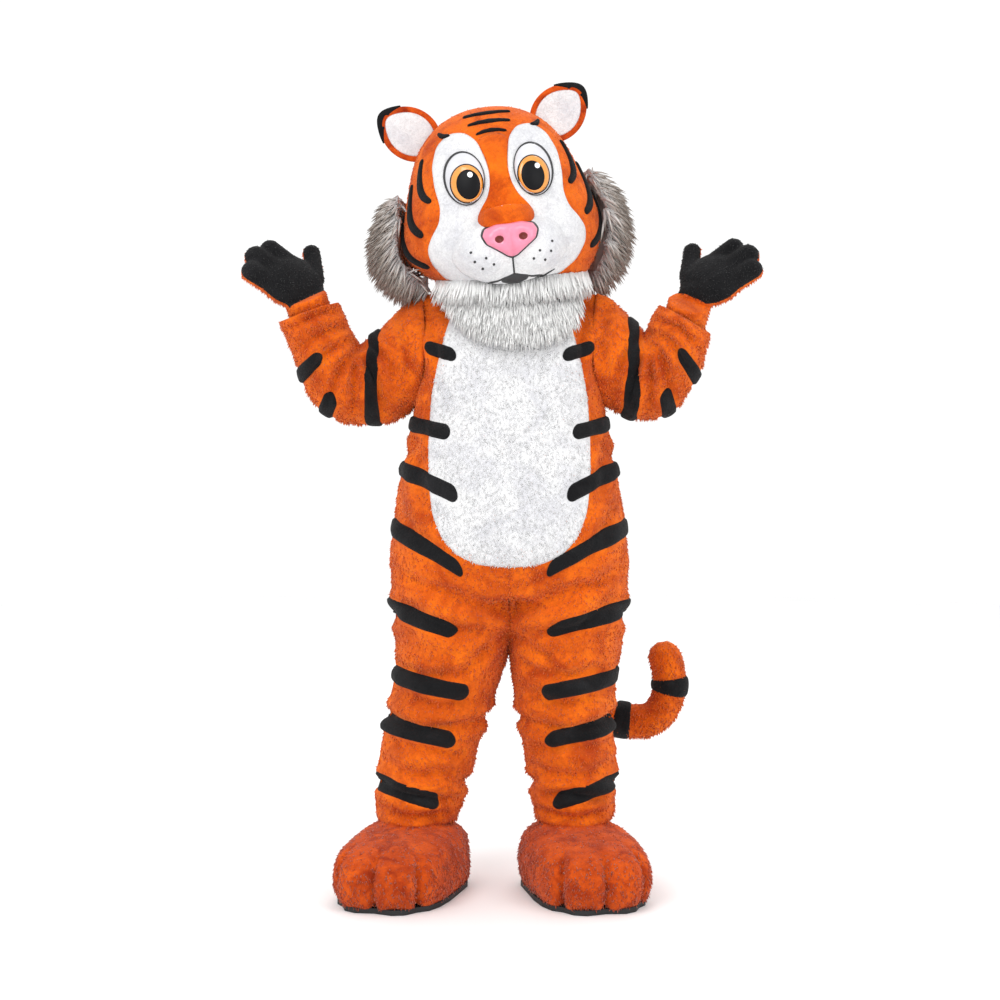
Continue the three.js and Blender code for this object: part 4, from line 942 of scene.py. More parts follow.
# ---------------------------------------------------------------- sleeves' bands
# Rings of the sleeves: points on the upper and the lower outline, depth and how far forward.
SLEEVE_RINGS = {
    "right": [
        ((0.213, 0.000), (0.228, -0.280), 0.100, 0.000), ((0.283, -0.057), (0.274, -0.306), 0.102, 0.004),
        ((0.322, -0.102), (0.346, -0.318), 0.101, 0.012), ((0.353, -0.130), (0.410, -0.307), 0.096, 0.027),
        ((0.362, -0.125), (0.450, -0.276), 0.092, 0.042), ((0.370, -0.108), (0.480, -0.226), 0.088, 0.058),
        ((0.387, -0.074), (0.506, -0.154), 0.080, 0.084), ((0.405, -0.028), (0.532, -0.070), 0.066, 0.108),
    ],
    "left": [
        ((0.213, 0.000), (0.228, -0.280), 0.100, 0.000), ((0.262, -0.034), (0.262, -0.284), 0.102, 0.004),
        ((0.298, -0.070), (0.294, -0.302), 0.101, 0.012), ((0.321, -0.100), (0.349, -0.303), 0.097, 0.026),
        ((0.329, -0.097), (0.397, -0.279), 0.093, 0.042), ((0.337, -0.079), (0.428, -0.228), 0.089, 0.058),
        ((0.347, -0.049), (0.457, -0.161), 0.082, 0.084), ((0.356, -0.034), (0.466, -0.098), 0.064, 0.107),
    ],
}
# Bands: the ring and the angle from the underarm by the front, at the start and at the end.
BANDS = [
    {"name": "band_upper", "rings": (1.62, 2.02), "angles": (-10, 172), "width": 0.037},
    {"name": "band_elbow", "rings": (3.70, 3.62), "angles": (-70, 66), "width": 0.040},
    {"name": "band_wrist", "rings": (5.45, 5.38), "angles": (-60, 86), "width": 0.038},
]


def sleeve_cast(side):
    bvh = bvh_of(skins[f"sleeve_{side}"])
    rings = SLEEVE_RINGS[side]
    sign = SIDES[side]

    def ring_point(row, angle):
        row = min(max(row, 0), len(rings) - 1.001)
        k = int(row)
        t = row - k
        points = []
        for upper, lower, depth, forward in (rings[k], rings[k + 1]):
            share = (1 - math.cos(math.radians(angle))) / 2
            high, low = np.array(upper), np.array(lower)
            x, z = low + (high - low) * share
            mx, mz = (low + high) / 2
            outer = Vector((sign * x, -forward - depth * math.sin(math.radians(angle)), z))
            points.append((outer, Vector((sign * mx, -forward, mz))))
        (a, ca), (b, cb) = points
        return a.lerp(b, t), ca.lerp(cb, t)

    def cast(row, angle):
        outer, middle = ring_point(row, angle)
        way = (outer - middle).normalized()
        return cast_on(bvh, outer + way * 0.035, -way, 0.035)

    return cast


for side in SIDES:
    cast = sleeve_cast(side)
    for band in BANDS:
        (r0, r1), (a0, a1) = band["rings"], band["angles"]

        def path(s, r0=r0, r1=r1, a0=a0, a1=a1, cast=cast):
            row, angle = r0 + (r1 - r0) * s, a0 + (a1 - a0) * s
            near, far = cast(row - 0.25, angle)[0], cast(row + 0.25, angle)[0]
            return (row, angle), (0.5 / max(0.01, (far - near).length), 0)

        strip(
            f"{band['name']}_{side}_plush", cast, path, band["width"], 0.007,
            BLACK, "plush_black", [f"{band['name']}_{side}"], rows=44,
        )


# ---------------------------------------------------------------- head
head_points = skins["head_shell"]["points"]
to_head = np.array(HEAD.inverted())
head_local = head_points @ to_head[:3, :3].T + to_head[:3, 3]
head_skin = {"points": head_local, "faces": skins["head_shell"]["faces"]}
head_bvh = bvh_of(head_skin)
HEAD_MIDDLE = Vector((0, 0, 0.2))


def from_head(piece):
    """Puts a piece made in the head's own frame in its place."""
    piece.data.transform(HEAD)


def head_front(bvh):
    def cast(x, z):
        return cast_on(bvh, Vector((x, -0.6, z)), Vector((0, 1, 0)))

    return cast


def head_round(bvh):
    def cast(turn, climb):
        a, c = math.radians(turn), math.radians(climb)
        way = Vector((math.sin(a) * math.cos(c), -math.cos(a) * math.cos(c), math.sin(c)))
        return cast_on(bvh, HEAD_MIDDLE + way * 0.6, -way)

    return cast


def piece_bvh(*pieces):
    points, faces, start = [], [], 0
    for piece in pieces:
        points += [v.co.copy() for v in piece.data.vertices]
        faces += [tuple(v + start for v in p.vertices) for p in piece.data.polygons]
        start += len(piece.data.vertices)
    points += [Vector(p) for p in head_local]
    faces += [tuple(v + start for v in f) for f in head_skin["faces"]]
    return BVHTree.FromPolygons(points, faces)


def dome(x, z, centre, size):
    return math.sqrt(max(0.0, 1 - ((x - centre[0]) / size[0]) ** 2 - ((z - centre[1]) / size[1]) ** 2))


TOWARDS = (0, -1, 0)  # straight ahead of the face
FACE_HALF = [  # the white of one half of the face, x and height
    (0.0, 0.007), (0.060, 0.007), (0.108, 0.012), (0.154, 0.040), (0.183, 0.080), (0.187, 0.112),
    (0.172, 0.140), (0.152, 0.165), (0.144, 0.200), (0.150, 0.250), (0.148, 0.300), (0.130, 0.348),
    (0.098, 0.374), (0.062, 0.370), (0.038, 0.344), (0.026, 0.300), (0.021, 0.260), (0.026, 0.220),
    (0.0, 0.190), (0.0, 0.080),
]
head_parts = []
face_halves = []
for side, sign in SIDES.items():
    outline = [(sign * x, z) for x, z in FACE_HALF]
    half = disc(
        f"face_{side}_plush", head_front(head_bvh), outline, (sign * 0.085, 0.17),
        lambda x, z, q: 0.0040 * max(0.0, 1 - q**12) ** 0.5 + 0.0006,
        WHITE, ["face"] if side == "right" else [], rings=22, turns=110, spread=0.8,
    )
    face_halves.append(half)
    head_parts.append(half)

MUZZLE_LOBE = {"centre": (0.060, 0.072), "size": (0.076, 0.078), "height": 0.062}
CHIN = {"centre": (0, 0.012), "size": (0.070, 0.040), "height": 0.034}
BRIDGE = {"centre": (0, 0.135), "size": (0.066, 0.075), "height": 0.058}


def muzzle_rise(x, z, q=0.0):
    lobe = dome(abs(x), z, MUZZLE_LOBE["centre"], MUZZLE_LOBE["size"]) * MUZZLE_LOBE["height"]
    chin = dome(x, z, CHIN["centre"], CHIN["size"]) * CHIN["height"]
    bridge = dome(x, z, BRIDGE["centre"], BRIDGE["size"]) * BRIDGE["height"]
    k = 130
    soft = math.log(math.exp(k * lobe) + math.exp(k * chin) + math.exp(k * bridge)) / k - math.log(3) / k
    return 0.0035 + max(0.0, soft)


face_bvh = piece_bvh(*face_halves)
muzzle = disc(
    "muzzle_plush", head_front(head_bvh), ellipse((0, 0.092), (0.138, 0.088)), (0, 0.088),
    muzzle_rise, WHITE, ["muzzle"], rings=34, turns=110, along=TOWARDS, sunk=0.004, spread=0.9,
)
head_parts.append(muzzle)
muzzle_bvh = piece_bvh(*face_halves, muzzle)
on_muzzle = head_front(muzzle_bvh)

BRIDGE_HALF = [
    (0.0, 0.128), (0.040, 0.130), (0.062, 0.140), (0.068, 0.158), (0.056, 0.180), (0.036, 0.205),
    (0.025, 0.235), (0.022, 0.265), (0.025, 0.300), (0.034, 0.335), (0.030, 0.352), (0.0, 0.360),
]
bridge_outline = BRIDGE_HALF + [(-x, z) for x, z in reversed(BRIDGE_HALF[1:-1])]
bridge = disc(
    "nose_bridge_plush", on_muzzle, bridge_outline, (0, 0.19),
    lambda x, z, q: 0.0035 * max(0.0, 1 - q**10) ** 0.5 + 0.0005,
    ORANGE, ["nose_bridge"], rings=20, turns=90,
)
head_parts.append(bridge)

NOSE_HALF = [
    (0.0, 0.136), (0.030, 0.138), (0.056, 0.132), (0.064, 0.116), (0.056, 0.096), (0.030, 0.078),
    (0.010, 0.064), (0.0, 0.062)
]
nose_outline = NOSE_HALF + [(-x, z) for x, z in reversed(NOSE_HALF[1:-1])]


def nose_rise(x, z, q):
    crown = 0.020 * max(0.0, 1 - q**3) ** 0.55
    seam = -0.0022 * math.exp(-((x / 0.0018) ** 2)) * (1 - q)
    hole = -0.012 * math.exp(-(((abs(x) - 0.027) / 0.011) ** 2) - ((z - 0.104) / 0.011) ** 2)
    return 0.003 + crown + seam + hole


nose_line = disc(
    "nose_edge", on_muzzle, [(1.07 * x, 0.102 + 1.08 * (z - 0.102)) for x, z in nose_outline], (0, 0.104),
    lambda x, z, q: 0.0032 * max(0.0, 1 - q**8) ** 0.5 + 0.0005, DARK, rings=12, turns=80,
)
nose = disc(
    "nose_moulded", on_muzzle, nose_outline, (0, 0.104), nose_rise,
    PINK, ["nose"], rings=36, turns=120, along=TOWARDS, spread=0.75,
)
head_parts += [nose_line, nose]
nose_bvh = piece_bvh(*face_halves, muzzle, nose)
for side, sign in SIDES.items():
    nostril = disc(
        f"nostril_{side}", head_front(nose_bvh), ellipse((sign * 0.0275, 0.103), (0.0105, 0.0085)),
        (sign * 0.0275, 0.103), lambda x, z, q: 0.0006, NOSTRIL, rings=6, turns=28, sunk=0.0006,
    )
    head_parts.append(nostril)

MOUTH = [(0.0, 0.026), (0.016, 0.021), (0.034, 0.017), (0.030, 0.009), (0.014, 0.004), (0.0, 0.003)]
mouth_outline = MOUTH + [(-x, z) for x, z in reversed(MOUTH[1:-1])]
mouth = disc(
    "mouth_plush", on_muzzle, mouth_outline, (0, 0.014),
    lambda x, z, q: 0.0030 * max(0.0, 1 - q**4) ** 0.5 + 0.0006,
    DARK, ["mouth"], rings=8, turns=44,
)
head_parts.append(mouth)


def line_between(*places):
    """A path through places of a map, with the step across it."""
    places = np.array(places, float)
    marks = np.linspace(0, 1, len(places))

    def path(s):
        here = np.array([np.interp(s, marks, places[:, k]) for k in (0, 1)])
        ahead = np.array([np.interp(min(1, s + 0.04), marks, places[:, k]) for k in (0, 1)])
        behind = np.array([np.interp(max(0, s - 0.04), marks, places[:, k]) for k in (0, 1)])
        run = ahead - behind
        run /= np.linalg.norm(run)
        return tuple(here), (-run[1], run[0])

    return path


DEGREES_A_METRE = 265  # on the head's round map, at the mean radius of the skull


def head_strip(
    name, cast, path, width, material=BLACK, slot="plush_black", height=0.005, taper=0.0, degree=False,
    **more
):
    """A stripe of the head; degree says that its path is on the round map."""
    if degree:
        plain = path

        def path(s):
            place, step = plain(s)
            return place, (step[0] * DEGREES_A_METRE, step[1] * DEGREES_A_METRE)

    piece = strip(name, cast, path, width, height, material, slot, taper=taper, **more)
    head_parts.append(piece)
    return piece


head_strip(
    "philtrum", on_muzzle, line_between((0, 0.064), (0, 0.045), (0, 0.024)), 0.0042, DARK, "mouth_black",
    0.002, rows=20, wave=0
)
for side, sign in SIDES.items():
    head_strip(
        f"smile_{side}", on_muzzle,
        line_between(
            (sign * 0.012, 0.021), (sign * 0.040, 0.013), (sign * 0.070, 0.012), (sign * 0.098, 0.024)
        ),
        0.0040, DARK, "mouth_black", 0.0018, taper=0.6, rows=30, wave=0,
    )

# Eyes: a domed white, an amber iris with a dark rim, a pupil and a glint.
EYE = {"centre": (0.080, 0.258), "size": (0.044, 0.062), "height": 0.017}
face_front = head_front(face_bvh)
for side, sign in SIDES.items():
    centre = (sign * EYE["centre"][0], EYE["centre"][1])
    eye_line = disc(
        f"eye_line_{side}", face_front, ellipse(
            centre, (EYE["size"][0] + 0.0022, EYE["size"][1] + 0.0022)
        ), centre,
        lambda x, z, q: 0.0050, DARK, rings=8, turns=64,
    )
    eye = disc(
        f"eye_{side}_dome", face_front, ellipse(centre, EYE["size"]), centre,
        lambda x, z, q: 0.0052 + EYE["height"] * max(0.0, 1 - q * q) ** 0.6,
        SCLERA, [f"eye_{side}"], rings=24, turns=72, along=TOWARDS, spread=0.7,
    )
    eye_front = head_front(piece_bvh(*face_halves, eye))
    iris_centre = (centre[0] - sign * 0.002, centre[1] - 0.014)
    layers = [
        ("iris_rim", (0.0385, 0.0465), (0, 0), PUPIL, "iris_amber", 0.0006, []),
        ("iris_amber", (0.0355, 0.0435), (0, 0), AMBER, "iris_amber", 0.0012, [f"iris_{side}"]),
        ("pupil", (0.0265, 0.0345), (-0.003, -0.003), PUPIL, "iris_amber", 0.0018, []),
        ("glint", (0.0060, 0.0065), (0.010, 0.018), GLINT, "eye_white", 0.0024, []),
    ]
    head_parts += [eye_line, eye]
    for label, size, shift, material, slot, lift, replaced in layers:
        place = (
            iris_centre[0] + shift[0] * sign if label == "pupil" else iris_centre[0] + shift[0],
            iris_centre[1] + shift[1]
        )
        part = disc(
            f"{label}_{side}", eye_front, ellipse(place, size), place, lambda x, z, q, lift=lift: lift,
            material, replaced, rings=10, turns=56, sunk=0.0004,
        )
        head_parts.append(part)

# Stripes of the head, on a round map: degrees from straight ahead and up from the middle.
skull = head_round(piece_bvh(*face_halves))
CHEEK_STRIPES = [
    ("cheek_high", (60, 34), (46, 5), 0.023),
    ("cheek_mid", (72, 20), (53, -13), 0.025),
    ("cheek_low", (83, 2), (58, -30), 0.025),
]
for side, sign in SIDES.items():
    for label, (t0, c0), (t1, c1), width in CHEEK_STRIPES:
        bend = ((t0 + t1) / 2 + 9, (c0 + c1) / 2 - 9)
        curve = [
            (
                sign * ((1 - q) ** 2 * t0 + 2 * q * (1 - q) * bend[0] + q * q * t1),
                (1 - q) ** 2 * c0 + 2 * q * (1 - q) * bend[1] + q * q * c1,
            )
            for q in np.linspace(0, 1, 13)
        ]
        head_strip(
            f"{label}_{side}", skull, line_between(*curve),
            width, height=0.006, taper=0.45, degree=True, rows=34,
        )
    head_strip(
        f"temple_{side}", skull, line_between((sign * 52, 50), (sign * 44, 47), (sign * 36, 46)),
        0.013, height=0.005, taper=0.4, degree=True, rows=22,
    )
CROWN_STRIPES = [("crown_low", 47, 13, 0.011), ("crown_mid", 55, 21, 0.013), ("crown_high", 64, 30, 0.014)]
for label, climb, half, width in CROWN_STRIPES:
    head_strip(
        label, skull, line_between(
            (-half, climb - 2.5), (-half / 2, climb - 0.6), (0, climb), (half / 2, climb - 0.6),
            (half, climb - 2.5)
        ),
        width, height=0.005, taper=0.55, degree=True, rows=40,
    )

WHISKERS = [(0.046, 0.050), (0.062, 0.066), (0.072, 0.044), (0.088, 0.062), (0.094, 0.084)]
for side, sign in SIDES.items():
    for k, (x, z) in enumerate(WHISKERS):
        dot = disc(
            f"whisker_dot_{k + 1}_{side}", on_muzzle, ellipse(
                (sign * x, z), (0.0034, 0.0034), 12
            ), (sign * x, z),
            lambda x, z, q: 0.0012 * (1 - q * q) + 0.0006, DARK, rings=4, turns=14,
        )
        head_parts.append(dot)


# ---------------------------------------------------------------- ears
EAR = {
    "base": Vector((0.142, 0.010, 0.370)), "axis": (0.77, 0.64), "length": 0.118, "half": 0.063,
    "thick": 0.0125, "cup": 0.016
}


def ear_point(side, theta, w, grow=0.0):
    """A point of the padded ear. theta runs round its outline from the tip, and w from the middle
    of its back (-1) over the rim (0) to the middle of its front (1)."""
    sign = SIDES[side]
    axis = Vector((sign * EAR["axis"][0], 0, EAR["axis"][1])).normalized()
    across = Vector((-axis.z * sign, 0, axis.x * sign))
    rho = max(0.0, math.cos(w * math.pi / 2)) ** 0.55
    thick = (EAR["thick"] + grow) * math.sin(w * math.pi / 2)
    peak = 1 + 0.16 * math.exp(-((theta / 0.55) ** 2))
    a = EAR["length"] * 0.40 + (0.075 + grow) * peak * rho * math.cos(theta)
    b = (EAR["half"] + grow) * rho * math.sin(theta)
    point = EAR["base"].copy()
    point.x *= sign
    point += axis * a + across * b
    point.y -= thick + EAR["cup"] * rho**2 - (0.004 if w > 0.5 else 0)
    return point


around = np.linspace(-math.pi, math.pi, 56, endpoint=False)
for side in SIDES:
    sections = np.sin(np.linspace(-math.pi / 2, math.pi / 2, 33))
    grid = np.array([[ear_point(side, t, w) for t in around] for w in sections])
    rows, columns = grid.shape[:2]
    ear_faces = [
        (
            i * columns + j, i * columns + (j + 1) % columns, (i + 1) * columns + (j + 1) % columns,
            (i + 1) * columns + j
        )
        for i in range(rows - 1)
        for j in range(columns)
    ]
    ear = new_piece(
        f"ear_{side}_plush", grid.reshape(-1, 3), ear_faces, DEEP_ORANGE,
        [f"ear_{side}"]
    )
    outward(ear)
    head_parts.append(ear)
    tip_rows = np.linspace(-0.999, 0.999, 22)
    tip_half = 0.86
    top, bottom = [], []
    for u in np.linspace(-1, 1, 15):
        reach = 0.52 * u
        row_top, row_bottom = [], []
        for v in tip_rows:
            width = math.sqrt(max(0.02, 1 - v * v))
            theta = v * tip_half + 0.10 * SIDES[side]
            w = reach * width
            row_top.append(ear_point(side, theta, w, 0.0026 * max(0.0, 1 - abs(u) ** 4) ** 0.5 + 0.0006))
            row_bottom.append(ear_point(side, theta, w, -0.0010))
        top.append(row_top)
        bottom.append(row_bottom)
    points, faces = closed_grid(np.array(top), np.array(bottom))
    tip = new_piece(f"ear_tip_{side}_plush", points, faces, BLACK, [f"ear_tip_{side}"])
    outward(tip)
    head_parts.append(tip)
    rings = np.linspace(0.56, 0.995, 10)
    top = np.array(
        [[
            ear_point(side, t, w, 0.0022 * (1 - ((0.995 - w) / 0.44) ** 6) + 0.0008) for t in around
        ] for w in rings]
    )
    bottom = np.array([[ear_point(side, t, w, -0.0006) for t in around] for w in rings])
    points, faces = closed_grid(top, bottom, True)
    end = (len(rings) - 1) * len(around)
    cap = tuple(end + j for j in range(len(around)))
    under = len(rings) * len(around)
    faces = [f for f in faces if not set(f) <= {*cap, *(under + c for c in cap)}]
    faces += [cap, tuple(under + c for c in reversed(cap))]
    lining = new_piece(
        f"ear_lining_{side}_plush", points, faces, WHITE, [f"ear_lining_{side}"]
    )
    outward(lining)
    head_parts.append(lining)

for piece in head_parts:
    from_head(piece)


# ---------------------------------------------------------------- gloves
HANDS = {
    "right": {"wrist": (-0.471, -0.110, -0.040), "palm": (-0.522, -0.097, 0.028)},
    "left": {"wrist": (0.416, -0.110, -0.053), "palm": (0.487, -0.097, 0.032)},
}
FINGERS = [(-0.043, 0.020, 0.074, 0.027), (0.0, 0.024, 0.090, 0.028), (0.042, 0.020, 0.076, 0.026)]
THUMB = {"base": (-0.050, 0.046, 0.002), "tip": (-0.002, 0.108, 0.0), "radius": 0.022}


def add_capsule(bm, start, end, radius):
    along = end - start
    turn = along.to_track_quat("Z", "Y").to_matrix().to_4x4()
    made = bmesh.ops.create_uvsphere(bm, u_segments=20, v_segments=14, radius=radius)["verts"]
    for vert in made:
        if vert.co.z > 0:
            vert.co.z += along.length
    bmesh.ops.transform(bm, matrix=Matrix.Translation(start) @ turn, verts=made)


def glove(side):
    sign = SIDES[side]
    palm = Vector(HANDS[side]["palm"])
    wrist = Vector(HANDS[side]["wrist"])
    along = Vector((sign * 0.83, 0.05, 0.55)).normalized()
    facing = Vector((sign * -0.326, -0.754, 0.56)).normalized()
    across = (facing.cross(along) * sign).normalized()
    facing = (along.cross(across) * -sign).normalized()
    if facing.y > 0:
        facing = -facing

    def in_hand(a, b, n):
        return palm + along * a + across * b + facing * n

    bm = bmesh.new()
    for b, base, tip, radius in FINGERS:
        add_capsule(bm, in_hand(base - 0.02, b * 0.9, 0), in_hand(tip, b, 0.004), radius)
    add_capsule(bm, in_hand(*THUMB["base"]), in_hand(*THUMB["tip"]), THUMB["radius"])
    add_capsule(bm, in_hand(-0.062, 0.006, -0.008), in_hand(-0.044, 0.030, -0.004), 0.034)
    ball = bmesh.ops.create_uvsphere(bm, u_segments=28, v_segments=18, radius=1)["verts"]
    basis = Matrix((along * 0.076, across * 0.072, facing * 0.038)).transposed().to_4x4()
    basis.translation = in_hand(-0.006, 0, 0)
    bmesh.ops.transform(bm, matrix=basis, verts=ball)
    rings = SLEEVE_RINGS[side]
    ends = []
    for upper, lower, _, forward in rings[-2:]:
        ends.append(Vector((sign * (upper[0] + lower[0]) / 2, -forward, (upper[1] + lower[1]) / 2)))
    forearm = (ends[1] - ends[0]).normalized()
    cuff_from, cuff_to = wrist - forearm * 0.040, wrist + forearm * 0.030
    made = bmesh.ops.create_cone(
        bm, segments=28, radius1=0.051, radius2=0.050, depth=(cuff_to - cuff_from).length, cap_ends=True
    )["verts"]
    turn = forearm.to_track_quat("Z", "Y").to_matrix().to_4x4()
    bmesh.ops.transform(bm, matrix=Matrix.Translation((cuff_from + cuff_to) / 2) @ turn, verts=made)
    mesh = bpy.data.meshes.new(f"glove_{side}")
    bm.to_mesh(mesh)
    bm.free()
    whole = bpy.data.objects.new(f"glove_{side}", mesh)
    bpy.context.scene.collection.objects.link(whole)
    remesh = whole.modifiers.new("joined", "REMESH")
    remesh.mode = "VOXEL"
    remesh.voxel_size = 0.0038
    soft = whole.modifiers.new("soft", "SMOOTH")
    soft.factor = 0.5
    soft.iterations = 9
    apply_modifiers(whole)
    bm = bmesh.new()
    bm.from_mesh(whole.data)
    bmesh.ops.bisect_plane(
        bm, geom=bm.verts[:] + bm.edges[:] + bm.faces[:], plane_co=in_hand(0, 0, 0.002), plane_no=facing
    )
    heel_point = in_hand(-0.060, -0.050, 0)
    heel_way = (along * 0.9 + across * 0.45).normalized()
    bmesh.ops.bisect_plane(
        bm, geom=bm.verts[:] + bm.edges[:] + bm.faces[:], plane_co=heel_point, plane_no=heel_way
    )
    bmesh.ops.bisect_plane(
        bm, geom=bm.verts[:] + bm.edges[:] + bm.faces[:], plane_co=cuff_from + forearm * 0.004,
        plane_no=forearm,
        clear_inner=True,
    )
    bm.faces.ensure_lookup_table()
    points = np.array([v.co[:] for v in bm.verts])
    halves = {"palm": [], "back": []}
    for face in bm.faces:
        middle = face.calc_center_median()
        in_front = (middle - in_hand(0, 0, 0.002)).dot(facing) > 0 and (middle - heel_point).dot(heel_way) > 0
        halves["palm" if in_front else "back"].append(tuple(v.index for v in face.verts))
    bm.free()
    bpy.data.objects.remove(whole)
    for half, faces in halves.items():
        used = sorted({v for f in faces for v in f})
        index = {v: k for k, v in enumerate(used)}
        skin = {"points": points[used], "faces": [tuple(index[v] for v in f) for f in faces]}
        material, slot = (BLACK, "plush_black") if half == "palm" else (ORANGE, "plush_orange")
        piece = hollow_piece(
            f"glove_{half}_{side}_plush", skin, 0.003, material, [f"glove_{half}_{side}"]
        )
        skins[f"glove_{half}_{side}"] = {"piece": piece}


for side in SIDES:
    glove(side)

# ---------------------------------------------------------------- tail
TAIL_ROUTE = [
    (0.025, 0.197, -0.730), (0.030, 0.240, -0.748), (0.048, 0.268, -0.820), (0.088, 0.276, -0.920),
    (0.150, 0.275, -1.002), (0.232, 0.268, -1.050), (0.310, 0.262, -1.068), (0.370, 0.257, -1.056),
    (0.404, 0.252, -0.995), (0.399, 0.250, -0.925), (0.376, 0.248, -0.868),
]
TAIL_RADIUS = 0.041


def bent_line(places, count):
    """Evenly spaced points on a smooth line through places."""
    places = np.array(places, float)
    ends = np.vstack([2 * places[0] - places[1], places, 2 * places[-1] - places[-2]])
    fine = []
    for k in range(1, len(ends) - 2):
        a, b, c, d = ends[k - 1 : k + 3]
        for t in np.linspace(0, 1, 24, endpoint=False):
            fine.append(
                0.5 * (
                    2 * b + (c - a) * t + (2 * a - 5 * b + 4 * c - d) * t**2 + (3 * b - a - 3 * c + d) * t**3
                )
            )
    fine.append(places[-1])
    fine = np.array(fine)
    run = np.concatenate([[0], np.cumsum(np.linalg.norm(np.diff(fine, axis=0), axis=1))])
    marks = np.linspace(0, run[-1], count)
    return np.column_stack([np.interp(marks, run, fine[:, k]) for k in range(3)]), run[-1]


def tail_grid(start, end, count, grow, turns=40):
    middles, _ = bent_line(TAIL_ROUTE, 200)
    tangents = np.gradient(middles, axis=0)
    tangents /= np.linalg.norm(tangents, axis=1, keepdims=True)
    across = [np.array([1.0, 0, 0])]
    for tangent in tangents:
        side = across[-1] - tangent * (across[-1] @ tangent)
        across.append(side / np.linalg.norm(side))
    rows = []
    for share in np.linspace(start, end, count):
        k = share * 199
        i = min(198, int(k))
        middle = middles[i] + (middles[i + 1] - middles[i]) * (k - i)
        tangent = tangents[i]
        one = across[i + 1]
        two = np.cross(tangent, one)
        left = (1 - share) * 1.06
        cap = math.sqrt(max(0.0, 1 - max(0.0, 1 - left / 0.065) ** 2)) if left < 0.065 else 1.0
        radius = TAIL_RADIUS * cap + grow
        row = []
        for angle in np.linspace(0, 2 * np.pi, turns, endpoint=False):
            way = one * math.cos(angle) + two * math.sin(angle)
            lump = 0.0022 * noise.noise(Vector(middle + way * 0.04) * 22)
            row.append(middle + way * (radius + lump * cap))
        rows.append(row)
    return np.array(rows)


rows = tail_grid(0, 1.0, 90, 0)
rows = np.concatenate([rows, np.array([np.tile(rows[-1].mean(0), (rows.shape[1], 1))])])
count, turns = rows.shape[:2]
tail_faces = [
    (i * turns + j, i * turns + (j + 1) % turns, (i + 1) * turns + (j + 1) % turns, (i + 1) * turns + j)
    for i in range(count - 1)
    for j in range(turns)
] + [tuple(reversed(range(turns)))]
tail = new_piece("tail_plush", rows.reshape(-1, 3), tail_faces, ORANGE, ["tail"])
outward(tail)
for k, (start, end) in enumerate([(0.30, 0.35), (0.60, 0.655), (0.83, 0.88)]):
    rounded = [0.0006 + 0.0055 * max(0.0, 1 - abs(t) ** 3) ** 0.5 for t in np.linspace(-1, 1, 12)]
    base = tail_grid(start, end, 12, 0)
    middle = base.mean(1, keepdims=True)
    ways = base - middle
    ways /= np.linalg.norm(ways, axis=2, keepdims=True)
    top = base + ways * np.array(rounded)[:, None, None]
    points, faces = closed_grid(top, base - ways * SUNK, True)
    band = new_piece(
        f"tail_band_{k + 1}_plush", points, faces, BLACK, [f"tail_band_{k + 1}"]
    )
    outward(band)


# ---------------------------------------------------------------- long fur
def soft_copy(name, node, material, levels=1, shrink=0.0):
    """A CAD fur solid, rounded, as the ground that the tufts stand on."""
    piece = bpy.data.objects.new(name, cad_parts[node].data.copy())
    bpy.context.scene.collection.objects.link(piece)
    piece.data.materials.clear()
    piece.data.materials.append(material)
    bm = bmesh.new()
    bm.from_mesh(piece.data)
    bmesh.ops.remove_doubles(bm, verts=bm.verts, dist=2e-4)
    bmesh.ops.join_triangles(bm, faces=bm.faces, angle_face_threshold=1.0, angle_shape_threshold=1.4)
    bm.to_mesh(piece.data)
    bm.free()
    modifier = piece.modifiers.new("rounded", "SUBSURF")
    modifier.levels = modifier.render_levels = levels
    apply_modifiers(piece)
    if shrink:
        bm = bmesh.new()
        bm.from_mesh(piece.data)
        bm.normal_update()
        for vert in bm.verts:
            vert.co -= vert.normal * shrink
        bm.to_mesh(piece.data)
        bm.free()
    piece.data.polygons.foreach_set("use_smooth", np.ones(len(piece.data.polygons), bool))
    # The ground gets the colour near the tufts' roots, darkened by a low tone: painted shade under the fur.
    for attribute in ("along", "tone"):
        layer = piece.data.attributes.new(attribute, "FLOAT", "POINT")
        layer.data.foreach_set("value", np.full(len(piece.data.vertices), 0.3, np.float32))
    finish_piece(piece, [node])
    return piece


for side, sign in SIDES.items():
    ground = soft_copy(f"ruff_{side}_ground", f"ruff_{side}", GREY_FUR, 2, 0.022)
    rng = np.random.default_rng(11 + sign)
    roots, normals = scatter(ground, 2600, 21 + sign, lambda c, n: np.clip(n[:, 0] * sign + 0.8, 0, 1))
    ways = normals * 0.75 + np.array([sign * 0.42, 0.10, -0.62]) + rng.normal(0, 0.16, (len(roots), 3))
    lengths = rng.uniform(0.030, 0.062, len(roots))
    tufts(
        f"ruff_{side}_fur", roots, ways, lengths, lengths * 0.085, GREY_FUR, 31 + sign, 0.30, 3
    )

bib = soft_copy("bib_ground", "bib", WHITE_FUR, 2)
rng = np.random.default_rng(5)
roots, normals = scatter(bib, 3400, 8, lambda c, n: np.clip(-n[:, 1] + 0.6, 0, 1))
ways = normals * 0.30 + np.array([0, -0.05, -1.0]) + rng.normal(0, 0.16, (len(roots), 3))
lengths = rng.uniform(0.022, 0.044, len(roots))
tufts("bib_fur", roots, ways, lengths, lengths * 0.10, WHITE_FUR, 12, 0.1, 3)

